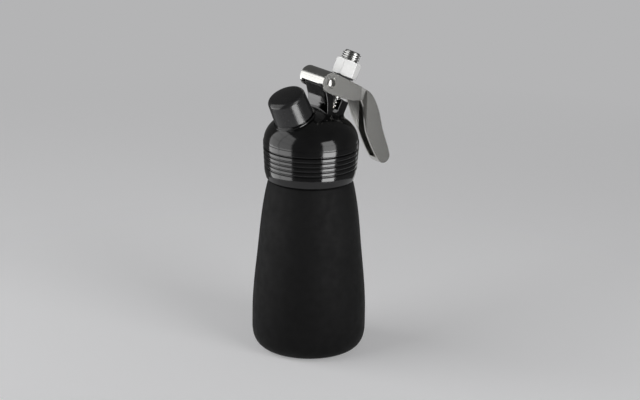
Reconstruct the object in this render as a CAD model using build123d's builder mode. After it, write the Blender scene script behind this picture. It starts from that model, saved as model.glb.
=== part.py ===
from build123d import *
from math import asin, cos, degrees, radians, sin
import os

# A small whipped cream dispenser, lever pressed by hand.
# Millimetres. +Z is up, the origin is the centre of the base on the table.
# The valve and its lever lean towards +X, the charger port leans towards -X.
# The lever's pivot runs along Y.

os.makedirs("parts", exist_ok=True)

# ---------------------------------------------------------------- driving sizes
RUNNING = 0.05          # radial clearance of a shaft that turns or slides in its hole
GAP = 0.3               # clearance between pieces that pass each other

# Bottle and its rubber sleeve
SLEEVE_WALL = 1.6
BOTTLE_WALL = 1.5
BASE_EDGE = 11.0        # width of the foot's rounding
BODY_RADIUS = 38.0      # widest, low on the body
BODY_LOW = 24.0         # height of the widest place
BODY_HEIGHT = 114.0     # top of the tapered side
BODY_MID = 0.49         # share of the tapered side's height where the next share holds
BODY_MID_TAPER = 0.35   # share of the taper that is reached there
SHOULDER_STEP = 2.6     # shoulder outside the neck
SLEEVE_LIP = 2.6        # height and step in of the sleeve's rim above the shoulder
SLEEVE_LIP_STEP = 0.9
NECK_RADIUS = 25.9
NECK_WALL = 2.6
NECK_HEIGHT = 20.2      # above the sleeve
RIM_CHAMFER = 0.5

# Head: skirt, ribs and dome, heights from the skirt's bottom edge
HEAD_GAP = 1.2          # between the sleeve's rim and the skirt
SKIRT_WALL = 3.1
SKIRT_FOOT = 4.3        # height and step out of the flared foot
SKIRT_FOOT_STEP = 1.2
SKIRT_HEIGHT = 21.6
SKIRT_TAPER = 1.1       # the skirt widens upwards by this much
FIRST_GROOVE = 8.3
GROOVE_PITCH = 3.13
FINE_GROOVES = 4
GROOVE_DEPTH = 0.7
GROOVE_WIDTH = 1.3
MAIN_GROOVE = 21.0
MAIN_GROOVE_DEPTH = 1.2
MAIN_GROOVE_WIDTH = 1.2
BAND_TOP = 25.2
DOME_STEP = 0.4         # the dome's foot stands in from the band
DOME_RISE = 20.2
GASKET_THICKNESS = 2.0
CAVITY_RADIUS = 19.5
CAVITY_HEIGHT = 11.0
CAVITY_EDGE = 5.0

# Both tilted axes leave the bottle's axis at the same height above the skirt's edge
AXES_MEET = 12.6
VALVE_TILT = 26.0
PORT_TILT = 25.0

# Tower, stations along the valve axis from the meeting point
TOWER_WALL = 2.1
TOWER_TOP = 43.0
SPRING_FLOOR = 34.0
WELL_CLEARANCE = 1.2    # round the spring
WINDOW_SILL = 35.6      # the tower's wall is cut down to here on the pivot's side
WINDOW_EDGE = 1.5       # the wall stands up to this far past the axis

# Lever pivot, from the middle of the spring plate's underside, and the lug that carries it
PIVOT_REACH = 14.76
PIVOT_RISE = 9.01
PIN_RADIUS = 2.3
PIN_HEAD_RADIUS = 2.8
PIN_HEAD_PROUD = 0.7
LUG_WAIST_LEFT = 1.9    # the waist's sides to the left and right of the pivot
LUG_WAIST_RIGHT = 3.1
LUG_WAIST = 12.0        # the waist's top and the lug's root, below the pivot
LUG_ROOT = 28.0
LUG_CHEEK = 35.0        # the lug's eye runs out into its waist at this angle

# Lever, one formed sheet, its outline counted from the pivot
SHEET = 1.5
ARM_CLEARANCE = 1.7     # between the tower and each arm
GRIP_WIDTH = 10.0
HOOD_RADIUS = 7.0
LEVER_SLOPE = 29.0      # the fork's top edge falls at this angle
FORK_CORNER = 217.0     # the arms' rounded end stops at this angle round the pivot
FORK_END = (26.5, -6.7)
GRIP_BACK = [(38.7, -14.0), (43.6, -22.1), (49.0, -40.2), (55.1, -57.6)]
GRIP_TIP = (50.6, -63.7)
GRIP_FRONT = [(46.8, -62.0), (42.4, -55.2), (37.2, -44.9), (32.0, -31.3), (28.6, -19.5)]
TIP_HEADING = (0.27, -0.96)
FORK_BELOW = [(24.5, -14.6), (18.1, -14.0), (10.6, -11.9)]
WINDOW_START = 6.1      # the top is open between these two, for the valve
WINDOW_END = 24.5
JOGGLE_START = 25.5
JOGGLE_END = 32.0
PRESS_BOSS_RADIUS = 2.0
PRESS_GAP = 0.2         # play between the lever's bosses and the spring plate
PIN_SINK_RADIUS = 3.5
PIN_SINK_DEPTH = 0.6

# Valve pieces, stations along the valve axis
BUSH_WALL = 1.35
BUSH_LAND = 1.0         # flat of the bush's flange inside its O-ring
BUSH_RIM = 0.4          # and outside it
BUSH_FLANGE_BOTTOM = 17.0
BUSH_FLANGE_TOP = 19.7
BUSH_ABOVE_NUT = 0.6
INLET_CHAMBER_RADIUS = 4.3
INLET_CHAMBER_TOP = 22.4
NUT_HEIGHT = 2.4
NUT_WALL = 1.1          # between the nut's thread and its flats
STEM_RADIUS = 3.5
STEM_BORE = 1.8
STEM_BORE_BOTTOM = 18.4
STEM_INLET = 20.2
STEM_INLET_RADIUS = 1.1
STEM_PILOT_STEP = 1.1   # the pilot for the gasket and the top thread are this much slimmer
STEM_THREAD_STEP = 0.4
STEM_TOP = 66.0
O_RING_SECTION = 1.0
RING_SIDES = 6          # rings and the spring's wire are drawn with flats, not round
O_RING_GROOVE_WIDTH = 1.3
STEM_O_RINGS = {"stem_o_ring_lower": 25.4, "stem_o_ring_upper": 31.4}
VALVE_GASKET_RADIUS = 6.4
VALVE_GASKET_THICKNESS = 2.6
SCREW_HEAD_RADIUS = 4.8
SCREW_HEAD_HEIGHT = 2.2
SCREW_RADIUS = 1.3
SCREW_LENGTH = 3.4
PLATE_BOTTOM = 48.5
PLATE_STEP = 1.2        # the plate's edge stands in from the tower's side
PLATE_THICKNESS = 2.0
HUB_WALL = 2.1
HUB_TOP = 57.2
SPRING_WIRE = 1.1
SPRING_CLEARANCE = 0.2  # round the bush
SPRING_TURNS = 5
SPRING_SEAT_GAP = 0.05

# Hexagon adapter on the stem
ADAPTER_SEAL_RADIUS = 6.8
ADAPTER_SEAL_THICKNESS = 1.0
HEX_ACROSS_FLATS = 15.0
HEX_HEIGHT = 10.7
HEX_CHAMFER = 0.9
TIP_RADIUS = 6.2
TIP_LENGTH = 6.5
TIP_BORE = 3.6
TIP_CHAMFER = 0.6

# Charger port, stations along the port axis
BOSS_TOP = 31.6
FLANGE_STEP = 1.3       # the flange's edge outside the cap
FLANGE_THICKNESS = 1.2
RING_STEP = 0.6         # the ring under the flange and the groove between them, from the flange
RING_THICKNESS = 1.2
RING_GROOVE = 0.5
RING_GROOVE_DEPTH = 1.1
BOSS_STEP = 2.0         # the boss under both
PORT_WALL_BOTTOM = 20.5
PORT_GASKET_THICKNESS = 1.0
NIPPLE_WALL = 1.45
NIPPLE_HEIGHT = 10.0
SHANK_RADIUS = 6.5
PORT_NUT_HEIGHT = 3.0
PORT_NUT_ACROSS_FLATS = 15.0
SHANK_BELOW_NUT = 0.8
CHARGER_BORE = 9.25
CHARGER_DEPTH = 5.8
CHARGER_NECK_BORE = 4.7
CHARGER_NECK_DEPTH = 6.6
PIN_SEAL_THICKNESS = 1.6
PIN_SEAL_HOLE = 1.5
HOLDER_RADIUS = 3.6
HOLDER_LENGTH = 6.5
VALVE_CHAMBER_RADIUS = 3.0
VALVE_CHAMBER_LENGTH = 3.0
CHECK_DISC_THICKNESS = 1.4
CHECK_STUB_RADIUS = 1.2
GAS_PASSAGE_RADIUS = 1.6
NEEDLE_RADIUS = 1.0
NEEDLE_BORE = 0.45
NEEDLE_ABOVE_SEAL = 3.6
NEEDLE_POINT = 1.6

# Charger cap
CAP_THREAD = 0.9        # room for the thread between the port and the cap
CAP_DRAFT = 0.5         # the cap narrows by this much towards its closed end
CAP_LENGTH = 17.3
CAP_CROWN = 0.9         # the closed end is slightly domed
CAP_EDGE = 2.4
CAP_WALL = 1.5          # at the root of its thread
CAP_ROOF = 2.2

# ------------------------------------------------------------ worked-out stations
mid_height = BODY_LOW + BODY_MID * (BODY_HEIGHT - BODY_LOW)
shoulder_radius = NECK_RADIUS + SHOULDER_STEP
mid_radius = BODY_RADIUS - BODY_MID_TAPER * (BODY_RADIUS - shoulder_radius)
sleeve_top = BODY_HEIGHT + SLEEVE_LIP
sleeve_rim_radius = shoulder_radius - SLEEVE_LIP_STEP
mouth = sleeve_top + NECK_HEIGHT

head_base = sleeve_top + HEAD_GAP
head_bore = NECK_RADIUS + GAP
skirt_foot_radius = head_bore + SKIRT_WALL
skirt_low_radius = skirt_foot_radius + SKIRT_FOOT_STEP
skirt_top_radius = skirt_low_radius + SKIRT_TAPER
dome_radius = skirt_top_radius - DOME_STEP
gasket_bottom_height = mouth - head_base
gasket_top_height = gasket_bottom_height + GASKET_THICKNESS
stem_pilot_radius = STEM_RADIUS - STEM_PILOT_STEP
stem_thread_radius = STEM_RADIUS - STEM_THREAD_STEP
bush_bore = STEM_RADIUS + RUNNING
bush_radius = bush_bore + BUSH_WALL
bush_flange_radius = bush_radius + BUSH_LAND + O_RING_GROOVE_WIDTH + BUSH_RIM
nut_across_flats = 2 * (bush_radius + NUT_WALL)
spring_mean_radius = bush_radius + SPRING_CLEARANCE + SPRING_WIRE / 2
spring_well_radius = spring_mean_radius + SPRING_WIRE / 2 + WELL_CLEARANCE
tower_radius = spring_well_radius + TOWER_WALL
plate_radius = tower_radius - PLATE_STEP
plate_top = PLATE_BOTTOM + PLATE_THICKNESS
hub_radius = stem_thread_radius + HUB_WALL
nut_top = SPRING_FLOOR + NUT_HEIGHT
bush_top = nut_top + BUSH_ABOVE_NUT
arm_inner = tower_radius + ARM_CLEARANCE
fork_width = 2 * (arm_inner + SHEET)
lug_radius = HOOD_RADIUS - SHEET - GAP
lug_width = 2 * (arm_inner - GAP)
pivot_x = PLATE_BOTTOM * sin(radians(VALVE_TILT)) - PIVOT_REACH
pivot_height = AXES_MEET + PLATE_BOTTOM * cos(radians(VALVE_TILT)) + PIVOT_RISE
pivot_z = head_base + pivot_height
valve_gasket_bottom = BUSH_FLANGE_BOTTOM - VALVE_GASKET_THICKNESS
hex_bottom = HUB_TOP + ADAPTER_SEAL_THICKNESS
hex_top = hex_bottom + HEX_HEIGHT
tip_top = hex_top + TIP_LENGTH
nipple_radius = CHARGER_BORE + NIPPLE_WALL
cap_radius = nipple_radius + CAP_THREAD + CAP_WALL
cap_top_radius = cap_radius - CAP_DRAFT
flange_radius = cap_radius + FLANGE_STEP
flange_top = BOSS_TOP + FLANGE_THICKNESS
nipple_bottom = flange_top + PORT_GASKET_THICKNESS
nipple_top = nipple_bottom + NIPPLE_HEIGHT
charger_floor = nipple_top - CHARGER_DEPTH
neck_floor = charger_floor - CHARGER_NECK_DEPTH
holder_bottom = neck_floor - HOLDER_LENGTH
chamber_bottom = holder_bottom - VALVE_CHAMBER_LENGTH
port_nut_bottom = PORT_WALL_BOTTOM - PORT_NUT_HEIGHT
shank_bottom = port_nut_bottom - SHANK_BELOW_NUT
cap_bottom = flange_top + GAP
cap_top = cap_bottom + CAP_LENGTH

# ------------------------------------------------------------- frames of the axes
valve_out = (sin(radians(VALVE_TILT)), 0, cos(radians(VALVE_TILT)))
valve_side = (cos(radians(VALVE_TILT)), 0, -sin(radians(VALVE_TILT)))
port_out = (-sin(radians(PORT_TILT)), 0, cos(radians(PORT_TILT)))
port_side = (cos(radians(PORT_TILT)), 0, sin(radians(PORT_TILT)))
meeting_point = (0, 0, head_base + AXES_MEET)

valve_axis = Axis(meeting_point, valve_out)
port_axis = Axis(meeting_point, port_out)
# Across an axis: offset by a station to sketch at that place
valve_across = Plane(origin=meeting_point, x_dir=valve_side, z_dir=valve_out)
port_across = Plane(origin=meeting_point, x_dir=port_side, z_dir=port_out)
# Side views of the head, from its bottom edge, and of the lever, from its pivot
head_section = Plane(origin=(0, 0, head_base), x_dir=(1, 0, 0), z_dir=(0, -1, 0))
lever_section = Plane(origin=(pivot_x, 0, pivot_z), x_dir=(1, 0, 0), z_dir=(0, -1, 0))
# Along an axis: local x is the radius, local y is the station
valve_along = Plane(origin=meeting_point, x_dir=valve_side, z_dir=(0, -1, 0))
port_along = Plane(origin=meeting_point, x_dir=port_side, z_dir=(0, -1, 0))


def finish(piece, name):
    """Label a finished piece and write its STEP file."""
    piece.part.label = name
    export_step(piece.part, f"parts/{name}.step")


def draw_body(inset, rim_radius):
    """Closed half outline of the body, moved in by inset: base, round foot, tapered side, rim."""
    side = [
        (BODY_RADIUS - inset, BODY_LOW),
        (mid_radius - inset, mid_height),
        (shoulder_radius - inset, BODY_HEIGHT),
    ]
    base = Line((0, inset), (BODY_RADIUS - BASE_EDGE, inset))
    Spline(base @ 1, side[0], tangents=[(1, 0), (0, 1)])
    taper = Spline(*side, tangents=[(0, 1), (-0.24, 1)])
    shoulder = Line(taper @ 1, (rim_radius, sleeve_top))
    rim = Line(shoulder @ 1, (0, sleeve_top))
    Line(rim @ 1, base @ 0)


def draw_turned(stations):
    """Closed half outline of a turned piece from (radius, station) corners, closed on the axis."""
    Polyline((0, stations[0][1]), *stations, (0, stations[-1][1]), close=True)


# ------------------------------------------------------------------------ bottle
with BuildPart() as bottle:
    with BuildSketch(Plane.XZ):
        with BuildLine():
            draw_body(SLEEVE_WALL, NECK_RADIUS)
        make_face()
    revolve(axis=Axis.Z)
    with BuildSketch(Plane.XY.offset(sleeve_top)):
        Circle(NECK_RADIUS)
    extrude(amount=NECK_HEIGHT)
    with BuildSketch(Plane.XZ):
        with BuildLine():
            draw_body(SLEEVE_WALL + BOTTLE_WALL, NECK_RADIUS - NECK_WALL)
        make_face()
    revolve(axis=Axis.Z, mode=Mode.SUBTRACT)
    with BuildSketch(Plane.XY.offset(sleeve_top)):
        Circle(NECK_RADIUS - NECK_WALL)
    extrude(amount=NECK_HEIGHT, mode=Mode.SUBTRACT)
    mouth_edges = bottle.faces().sort_by(Axis.Z)[-1].edges()
    chamfer(mouth_edges, length=RIM_CHAMFER)
finish(bottle, "bottle")

# ------------------------------------------------------------------ bottle sleeve
with BuildPart() as bottle_sleeve:
    with BuildSketch(Plane.XZ):
        with BuildLine():
            draw_body(0, sleeve_rim_radius)
        make_face()
    revolve(axis=Axis.Z)
    with BuildSketch(Plane.XZ):
        with BuildLine():
            draw_body(SLEEVE_WALL, NECK_RADIUS)
        make_face()
    revolve(axis=Axis.Z, mode=Mode.SUBTRACT)
    rim_edge = bottle_sleeve.edges().group_by(Axis.Z)[-1].sort_by(SortBy.RADIUS)[-1]
    chamfer(rim_edge, length=RIM_CHAMFER)
finish(bottle_sleeve, "bottle_sleeve")


# -------------------------------------------------------------------------- head
def groove_outline(height, depth, width):
    """Corners of a tapered groove in the skirt's side at one height."""
    outside = skirt_top_radius + 1
    climb = (height - SKIRT_FOOT) / (SKIRT_HEIGHT - SKIRT_FOOT)
    side = skirt_low_radius + SKIRT_TAPER * climb
    root = side - depth
    return [
        (outside, height + width / 2),
        (side, height + width / 2),
        (root, height + width / 6),
        (root, height - width / 6),
        (side, height - width / 2),
        (outside, height - width / 2),
    ]


def dome_point(angle):
    """Point of the dome's elliptical outline, from its foot at 0 to its crown at 90 degrees."""
    return dome_radius * cos(radians(angle)), BAND_TOP + DOME_RISE * sin(radians(angle))


with BuildPart() as head:
    # Skirt and dome
    with BuildSketch(head_section):
        with BuildLine():
            skirt = Polyline(
                (0, 0),
                (skirt_foot_radius, 0),
                (skirt_low_radius, SKIRT_FOOT),
                (skirt_top_radius, SKIRT_HEIGHT),
                (skirt_top_radius, BAND_TOP),
                dome_point(0),
            )
            dome = Spline(
                *[dome_point(angle) for angle in (0, 30, 60, 90)], tangents=[(0, 1), (-1, 0)]
            )
            Line(dome @ 1, skirt @ 0)
        make_face()
    revolve(axis=Axis.Z)
    # Grooves between the skirt's ribs
    fine_grooves = [
        (FIRST_GROOVE + groove * GROOVE_PITCH, GROOVE_DEPTH, GROOVE_WIDTH)
        for groove in range(FINE_GROOVES)
    ]
    for groove in fine_grooves + [(MAIN_GROOVE, MAIN_GROOVE_DEPTH, MAIN_GROOVE_WIDTH)]:
        with BuildSketch(head_section):
            with BuildLine():
                Polyline(*groove_outline(*groove), close=True)
            make_face()
        revolve(axis=Axis.Z, mode=Mode.SUBTRACT)
    # Tower of the valve, cut down on the pivot's side so that the spring shows
    with BuildSketch(valve_across.offset(BUSH_FLANGE_TOP)):
        Circle(tower_radius)
    extrude(amount=TOWER_TOP - BUSH_FLANGE_TOP)
    with BuildSketch(valve_across.offset(WINDOW_SILL)):
        with Locations((-WINDOW_EDGE, 0)):
            Rectangle(2 * tower_radius, 3 * tower_radius, align=(Align.MAX, Align.CENTER))
    extrude(amount=TOWER_TOP - WINDOW_SILL + 1, mode=Mode.SUBTRACT)
    # Lug of the pivot
    cheek_reach = lug_radius * cos(radians(LUG_CHEEK))
    cheek_drop = lug_radius * sin(radians(LUG_CHEEK))
    with BuildSketch(lever_section):
        with BuildLine():
            Polyline(
                (-LUG_WAIST_LEFT, -LUG_ROOT),
                (LUG_WAIST_RIGHT, -LUG_ROOT),
                (LUG_WAIST_RIGHT, -LUG_WAIST),
                (cheek_reach, -cheek_drop),
                (-cheek_reach, -cheek_drop),
                (-LUG_WAIST_LEFT, -LUG_WAIST),
                close=True,
            )
        make_face()
        Circle(lug_radius)
    extrude(amount=lug_width / 2, both=True)
    # Boss and flange of the charger port
    ring_top = BOSS_TOP - RING_GROOVE
    with BuildSketch(port_along):
        with BuildLine():
            draw_turned([
                (flange_radius - BOSS_STEP, PORT_WALL_BOTTOM),
                (flange_radius - BOSS_STEP, ring_top - RING_THICKNESS),
                (flange_radius - RING_STEP, ring_top - RING_THICKNESS),
                (flange_radius - RING_STEP, ring_top),
                (flange_radius - RING_GROOVE_DEPTH, ring_top),
                (flange_radius - RING_GROOVE_DEPTH, BOSS_TOP),
                (flange_radius, BOSS_TOP),
                (flange_radius, flange_top),
            ])
        make_face()
    revolve(axis=port_axis)
    with BuildSketch(port_across.offset(flange_top)):
        Circle(cap_radius + 2 * GAP)
    extrude(amount=BOSS_TOP, mode=Mode.SUBTRACT)
    # Room for the bottle's neck, and the hollow above it
    with BuildSketch(Plane.XY.offset(head_base)):
        Circle(head_bore)
    extrude(amount=gasket_top_height, mode=Mode.SUBTRACT)
    with BuildSketch(head_section):
        with BuildLine():
            draw_turned([
                (CAVITY_RADIUS, gasket_top_height),
                (CAVITY_RADIUS, gasket_top_height + CAVITY_HEIGHT - CAVITY_EDGE),
                (CAVITY_RADIUS - CAVITY_EDGE, gasket_top_height + CAVITY_HEIGHT),
            ])
        make_face()
    revolve(axis=Axis.Z, mode=Mode.SUBTRACT)
    # Flat seats inside for the bush's flange and the port's nut
    with BuildSketch(valve_across.offset(BUSH_FLANGE_TOP)):
        Circle(bush_flange_radius + GAP)
    extrude(amount=-BUSH_FLANGE_TOP / 2, mode=Mode.SUBTRACT)
    with BuildSketch(port_across.offset(PORT_WALL_BOTTOM)):
        Circle(PORT_NUT_ACROSS_FLATS / 2 / cos(radians(30)) + GAP)
    extrude(amount=-PORT_WALL_BOTTOM / 2, mode=Mode.SUBTRACT)
    # Holes for the bush and the nipple, the spring's well and the pivot's hole
    with BuildSketch(valve_across.offset(BUSH_FLANGE_TOP)):
        Circle(bush_radius)
    extrude(amount=TOWER_TOP - BUSH_FLANGE_TOP, mode=Mode.SUBTRACT)
    with BuildSketch(valve_across.offset(SPRING_FLOOR)):
        Circle(spring_well_radius)
    extrude(amount=PLATE_BOTTOM - SPRING_FLOOR, mode=Mode.SUBTRACT)
    with BuildSketch(port_across.offset(PORT_WALL_BOTTOM)):
        Circle(SHANK_RADIUS)
    extrude(amount=flange_top - PORT_WALL_BOTTOM, mode=Mode.SUBTRACT)
    with BuildSketch(lever_section):
        Circle(PIN_RADIUS)
    extrude(amount=lug_width, both=True, mode=Mode.SUBTRACT)
finish(head, "head")

with BuildPart() as head_gasket:
    with BuildSketch(Plane.XY.offset(mouth)):
        Circle(head_bore - RUNNING)
        Circle(NECK_RADIUS - NECK_WALL, mode=Mode.SUBTRACT)
    extrude(amount=GASKET_THICKNESS)
finish(head_gasket, "head_gasket")

# ------------------------------------------------------------------ charger port
with BuildPart() as port_gasket:
    with BuildSketch(port_across.offset(flange_top)):
        Circle(nipple_radius - GAP)
        Circle(SHANK_RADIUS, mode=Mode.SUBTRACT)
    extrude(amount=PORT_GASKET_THICKNESS)
finish(port_gasket, "port_gasket")

with BuildPart() as charger_port:
    with BuildSketch(port_along):
        with BuildLine():
            Polyline(
                (GAS_PASSAGE_RADIUS, shank_bottom),
                (SHANK_RADIUS, shank_bottom),
                (SHANK_RADIUS, nipple_bottom),
                (nipple_radius, nipple_bottom),
                (nipple_radius, nipple_top - 0.6),
                (nipple_radius - 0.6, nipple_top),
                (CHARGER_BORE, nipple_top),
                (CHARGER_BORE, charger_floor),
                (CHARGER_NECK_BORE, charger_floor),
                (CHARGER_NECK_BORE, neck_floor),
                (HOLDER_RADIUS, neck_floor),
                (HOLDER_RADIUS, holder_bottom),
                (VALVE_CHAMBER_RADIUS, holder_bottom),
                (VALVE_CHAMBER_RADIUS, chamber_bottom),
                (GAS_PASSAGE_RADIUS, chamber_bottom),
                close=True,
            )
        make_face()
    revolve(axis=port_axis)
finish(charger_port, "charger_port")

with BuildPart() as port_nut:
    with BuildSketch(port_across.offset(port_nut_bottom)):
        RegularPolygon(PORT_NUT_ACROSS_FLATS / 2, 6, major_radius=False, rotation=30)
        Circle(SHANK_RADIUS, mode=Mode.SUBTRACT)
    extrude(amount=PORT_NUT_HEIGHT)
finish(port_nut, "port_nut")

with BuildPart() as pin_holder:
    with BuildSketch(port_across.offset(holder_bottom)):
        Circle(HOLDER_RADIUS)
        Circle(NEEDLE_RADIUS, mode=Mode.SUBTRACT)
    extrude(amount=HOLDER_LENGTH)
finish(pin_holder, "pin_holder")

with BuildPart() as piercing_pin:
    with BuildSketch(port_along):
        with BuildLine():
            Polyline(
                (NEEDLE_BORE, holder_bottom),
                (NEEDLE_RADIUS, holder_bottom),
                (NEEDLE_RADIUS, neck_floor + PIN_SEAL_THICKNESS + NEEDLE_ABOVE_SEAL - NEEDLE_POINT),
                (NEEDLE_BORE, neck_floor + PIN_SEAL_THICKNESS + NEEDLE_ABOVE_SEAL),
                close=True,
            )
        make_face()
    revolve(axis=port_axis)
finish(piercing_pin, "piercing_pin")

with BuildPart() as pin_seal:
    with BuildSketch(port_across.offset(neck_floor)):
        Circle(CHARGER_NECK_BORE)
        Circle(PIN_SEAL_HOLE, mode=Mode.SUBTRACT)
    extrude(amount=PIN_SEAL_THICKNESS)
finish(pin_seal, "pin_seal")

with BuildPart() as check_valve:
    with BuildSketch(port_across.offset(holder_bottom)):
        Circle(VALVE_CHAMBER_RADIUS - GAP)
    extrude(amount=-CHECK_DISC_THICKNESS)
    with BuildSketch(port_across.offset(holder_bottom - CHECK_DISC_THICKNESS)):
        Circle(CHECK_STUB_RADIUS)
    extrude(amount=-(VALVE_CHAMBER_LENGTH - CHECK_DISC_THICKNESS))
finish(check_valve, "check_valve")

# ------------------------------------------------------------------- charger cap
crown_reach = cap_top_radius - CAP_EDGE
crown_radius = (crown_reach**2 + CAP_CROWN**2) / (2 * CAP_CROWN)
crown_angle = degrees(asin(crown_reach / crown_radius))

with BuildPart() as charger_cap:
    with BuildSketch(port_along):
        with BuildLine():
            wall = Polyline(
                (0, cap_bottom),
                (cap_radius, cap_bottom),
                (cap_top_radius, cap_top - CAP_EDGE),
            )
            edge = CenterArc((cap_top_radius - CAP_EDGE, cap_top - CAP_EDGE), CAP_EDGE, 0, 90)
            crown = CenterArc(
                (0, cap_top + CAP_CROWN - crown_radius), crown_radius, 90 - crown_angle, crown_angle
            )
            Line(crown @ 1, wall @ 0)
        make_face()
    revolve(axis=port_axis)
    with BuildSketch(port_across.offset(cap_bottom)):
        Circle(cap_radius - CAP_WALL)
    extrude(amount=CAP_LENGTH - CAP_ROOF, mode=Mode.SUBTRACT)
finish(charger_cap, "charger_cap")

# ------------------------------------------------------------------------- valve
with BuildPart() as valve_bush:
    with BuildSketch(valve_along):
        with BuildLine():
            Polyline(
                (INLET_CHAMBER_RADIUS, BUSH_FLANGE_BOTTOM),
                (bush_flange_radius, BUSH_FLANGE_BOTTOM),
                (bush_flange_radius, BUSH_FLANGE_TOP),
                (bush_flange_radius - 0.4, BUSH_FLANGE_TOP),
                (bush_flange_radius - 0.4, BUSH_FLANGE_TOP - O_RING_SECTION),
                (bush_flange_radius - 0.4 - O_RING_GROOVE_WIDTH, BUSH_FLANGE_TOP - O_RING_SECTION),
                (bush_flange_radius - 0.4 - O_RING_GROOVE_WIDTH, BUSH_FLANGE_TOP),
                (bush_radius, BUSH_FLANGE_TOP),
                (bush_radius, bush_top),
                (bush_bore, bush_top),
                (bush_bore, INLET_CHAMBER_TOP),
                (INLET_CHAMBER_RADIUS, INLET_CHAMBER_TOP),
                close=True,
            )
        make_face()
    revolve(axis=valve_axis)
finish(valve_bush, "valve_bush")

with BuildPart() as bush_o_ring:
    with BuildSketch(valve_along):
        with Locations((
            bush_flange_radius - 0.4 - O_RING_GROOVE_WIDTH / 2,
            BUSH_FLANGE_TOP - O_RING_SECTION / 2,
        )):
            RegularPolygon(O_RING_SECTION / 2, RING_SIDES, rotation=30)
    revolve(axis=valve_axis)
finish(bush_o_ring, "bush_o_ring")

with BuildPart() as bush_nut:
    with BuildSketch(valve_across.offset(SPRING_FLOOR)):
        RegularPolygon(nut_across_flats / 2, 6, major_radius=False)
        Circle(bush_radius, mode=Mode.SUBTRACT)
    extrude(amount=NUT_HEIGHT)
finish(bush_nut, "bush_nut")

with BuildPart() as valve_stem:
    with BuildSketch(valve_along):
        with BuildLine():
            draw_turned([
                (stem_pilot_radius, valve_gasket_bottom),
                (stem_pilot_radius, BUSH_FLANGE_BOTTOM),
                (STEM_RADIUS, BUSH_FLANGE_BOTTOM),
                (STEM_RADIUS, PLATE_BOTTOM),
                (stem_thread_radius, PLATE_BOTTOM),
                (stem_thread_radius, STEM_TOP),
            ])
        make_face()
        for station in STEM_O_RINGS.values():
            with Locations((STEM_RADIUS, station)):
                Rectangle(2 * O_RING_SECTION, O_RING_GROOVE_WIDTH, mode=Mode.SUBTRACT)
    revolve(axis=valve_axis)
    with BuildSketch(valve_across.offset(STEM_BORE_BOTTOM)):
        Circle(STEM_BORE)
    extrude(amount=STEM_TOP - STEM_BORE_BOTTOM, mode=Mode.SUBTRACT)
    with BuildSketch(valve_across.offset(valve_gasket_bottom)):
        Circle(SCREW_RADIUS)
    extrude(amount=SCREW_LENGTH, mode=Mode.SUBTRACT)
    with BuildSketch(valve_along):
        with Locations((0, STEM_INLET)):
            Circle(STEM_INLET_RADIUS)
    extrude(amount=STEM_RADIUS + 1, both=True, mode=Mode.SUBTRACT)
finish(valve_stem, "valve_stem")

for name, station in STEM_O_RINGS.items():
    with BuildPart() as stem_o_ring:
        with BuildSketch(valve_along):
            with Locations((bush_bore - 0.02 - O_RING_SECTION / 2, station)):
                RegularPolygon(O_RING_SECTION / 2, RING_SIDES)
        revolve(axis=valve_axis)
    finish(stem_o_ring, name)

with BuildPart() as valve_gasket:
    with BuildSketch(valve_across.offset(valve_gasket_bottom)):
        Circle(VALVE_GASKET_RADIUS)
        Circle(stem_pilot_radius, mode=Mode.SUBTRACT)
    extrude(amount=VALVE_GASKET_THICKNESS)
finish(valve_gasket, "valve_gasket")

with BuildPart() as gasket_screw:
    with BuildSketch(valve_across.offset(valve_gasket_bottom)):
        Circle(SCREW_HEAD_RADIUS)
    extrude(amount=-SCREW_HEAD_HEIGHT)
    with BuildSketch(valve_across.offset(valve_gasket_bottom)):
        Circle(SCREW_RADIUS)
    extrude(amount=SCREW_LENGTH)
finish(gasket_screw, "gasket_screw")

with BuildPart() as spring_plate:
    with BuildSketch(valve_along):
        with BuildLine():
            Polyline(
                (stem_thread_radius, PLATE_BOTTOM),
                (plate_radius, PLATE_BOTTOM),
                (plate_radius, plate_top),
                (hub_radius, plate_top),
                (hub_radius, HUB_TOP),
                (stem_thread_radius, HUB_TOP),
                close=True,
            )
        make_face()
    revolve(axis=valve_axis)
finish(spring_plate, "spring_plate")

with BuildPart() as return_spring:
    coil_bottom = nut_top + SPRING_WIRE / 2 + SPRING_SEAT_GAP
    coil_height = PLATE_BOTTOM - SPRING_WIRE / 2 - SPRING_SEAT_GAP - coil_bottom
    with BuildLine() as coil:
        Helix(
            coil_height / SPRING_TURNS,
            coil_height,
            spring_mean_radius,
            center=valve_across.offset(coil_bottom).origin,
            direction=valve_out,
        )
    with BuildSketch(Plane(origin=coil.line @ 0, z_dir=coil.line % 0)):
        RegularPolygon(SPRING_WIRE / 2, RING_SIDES)
    sweep(path=coil.line, is_frenet=True)
finish(return_spring, "return_spring")

with BuildPart() as adapter_seal:
    with BuildSketch(valve_across.offset(HUB_TOP)):
        Circle(ADAPTER_SEAL_RADIUS)
        Circle(stem_thread_radius, mode=Mode.SUBTRACT)
    extrude(amount=ADAPTER_SEAL_THICKNESS)
finish(adapter_seal, "adapter_seal")

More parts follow.
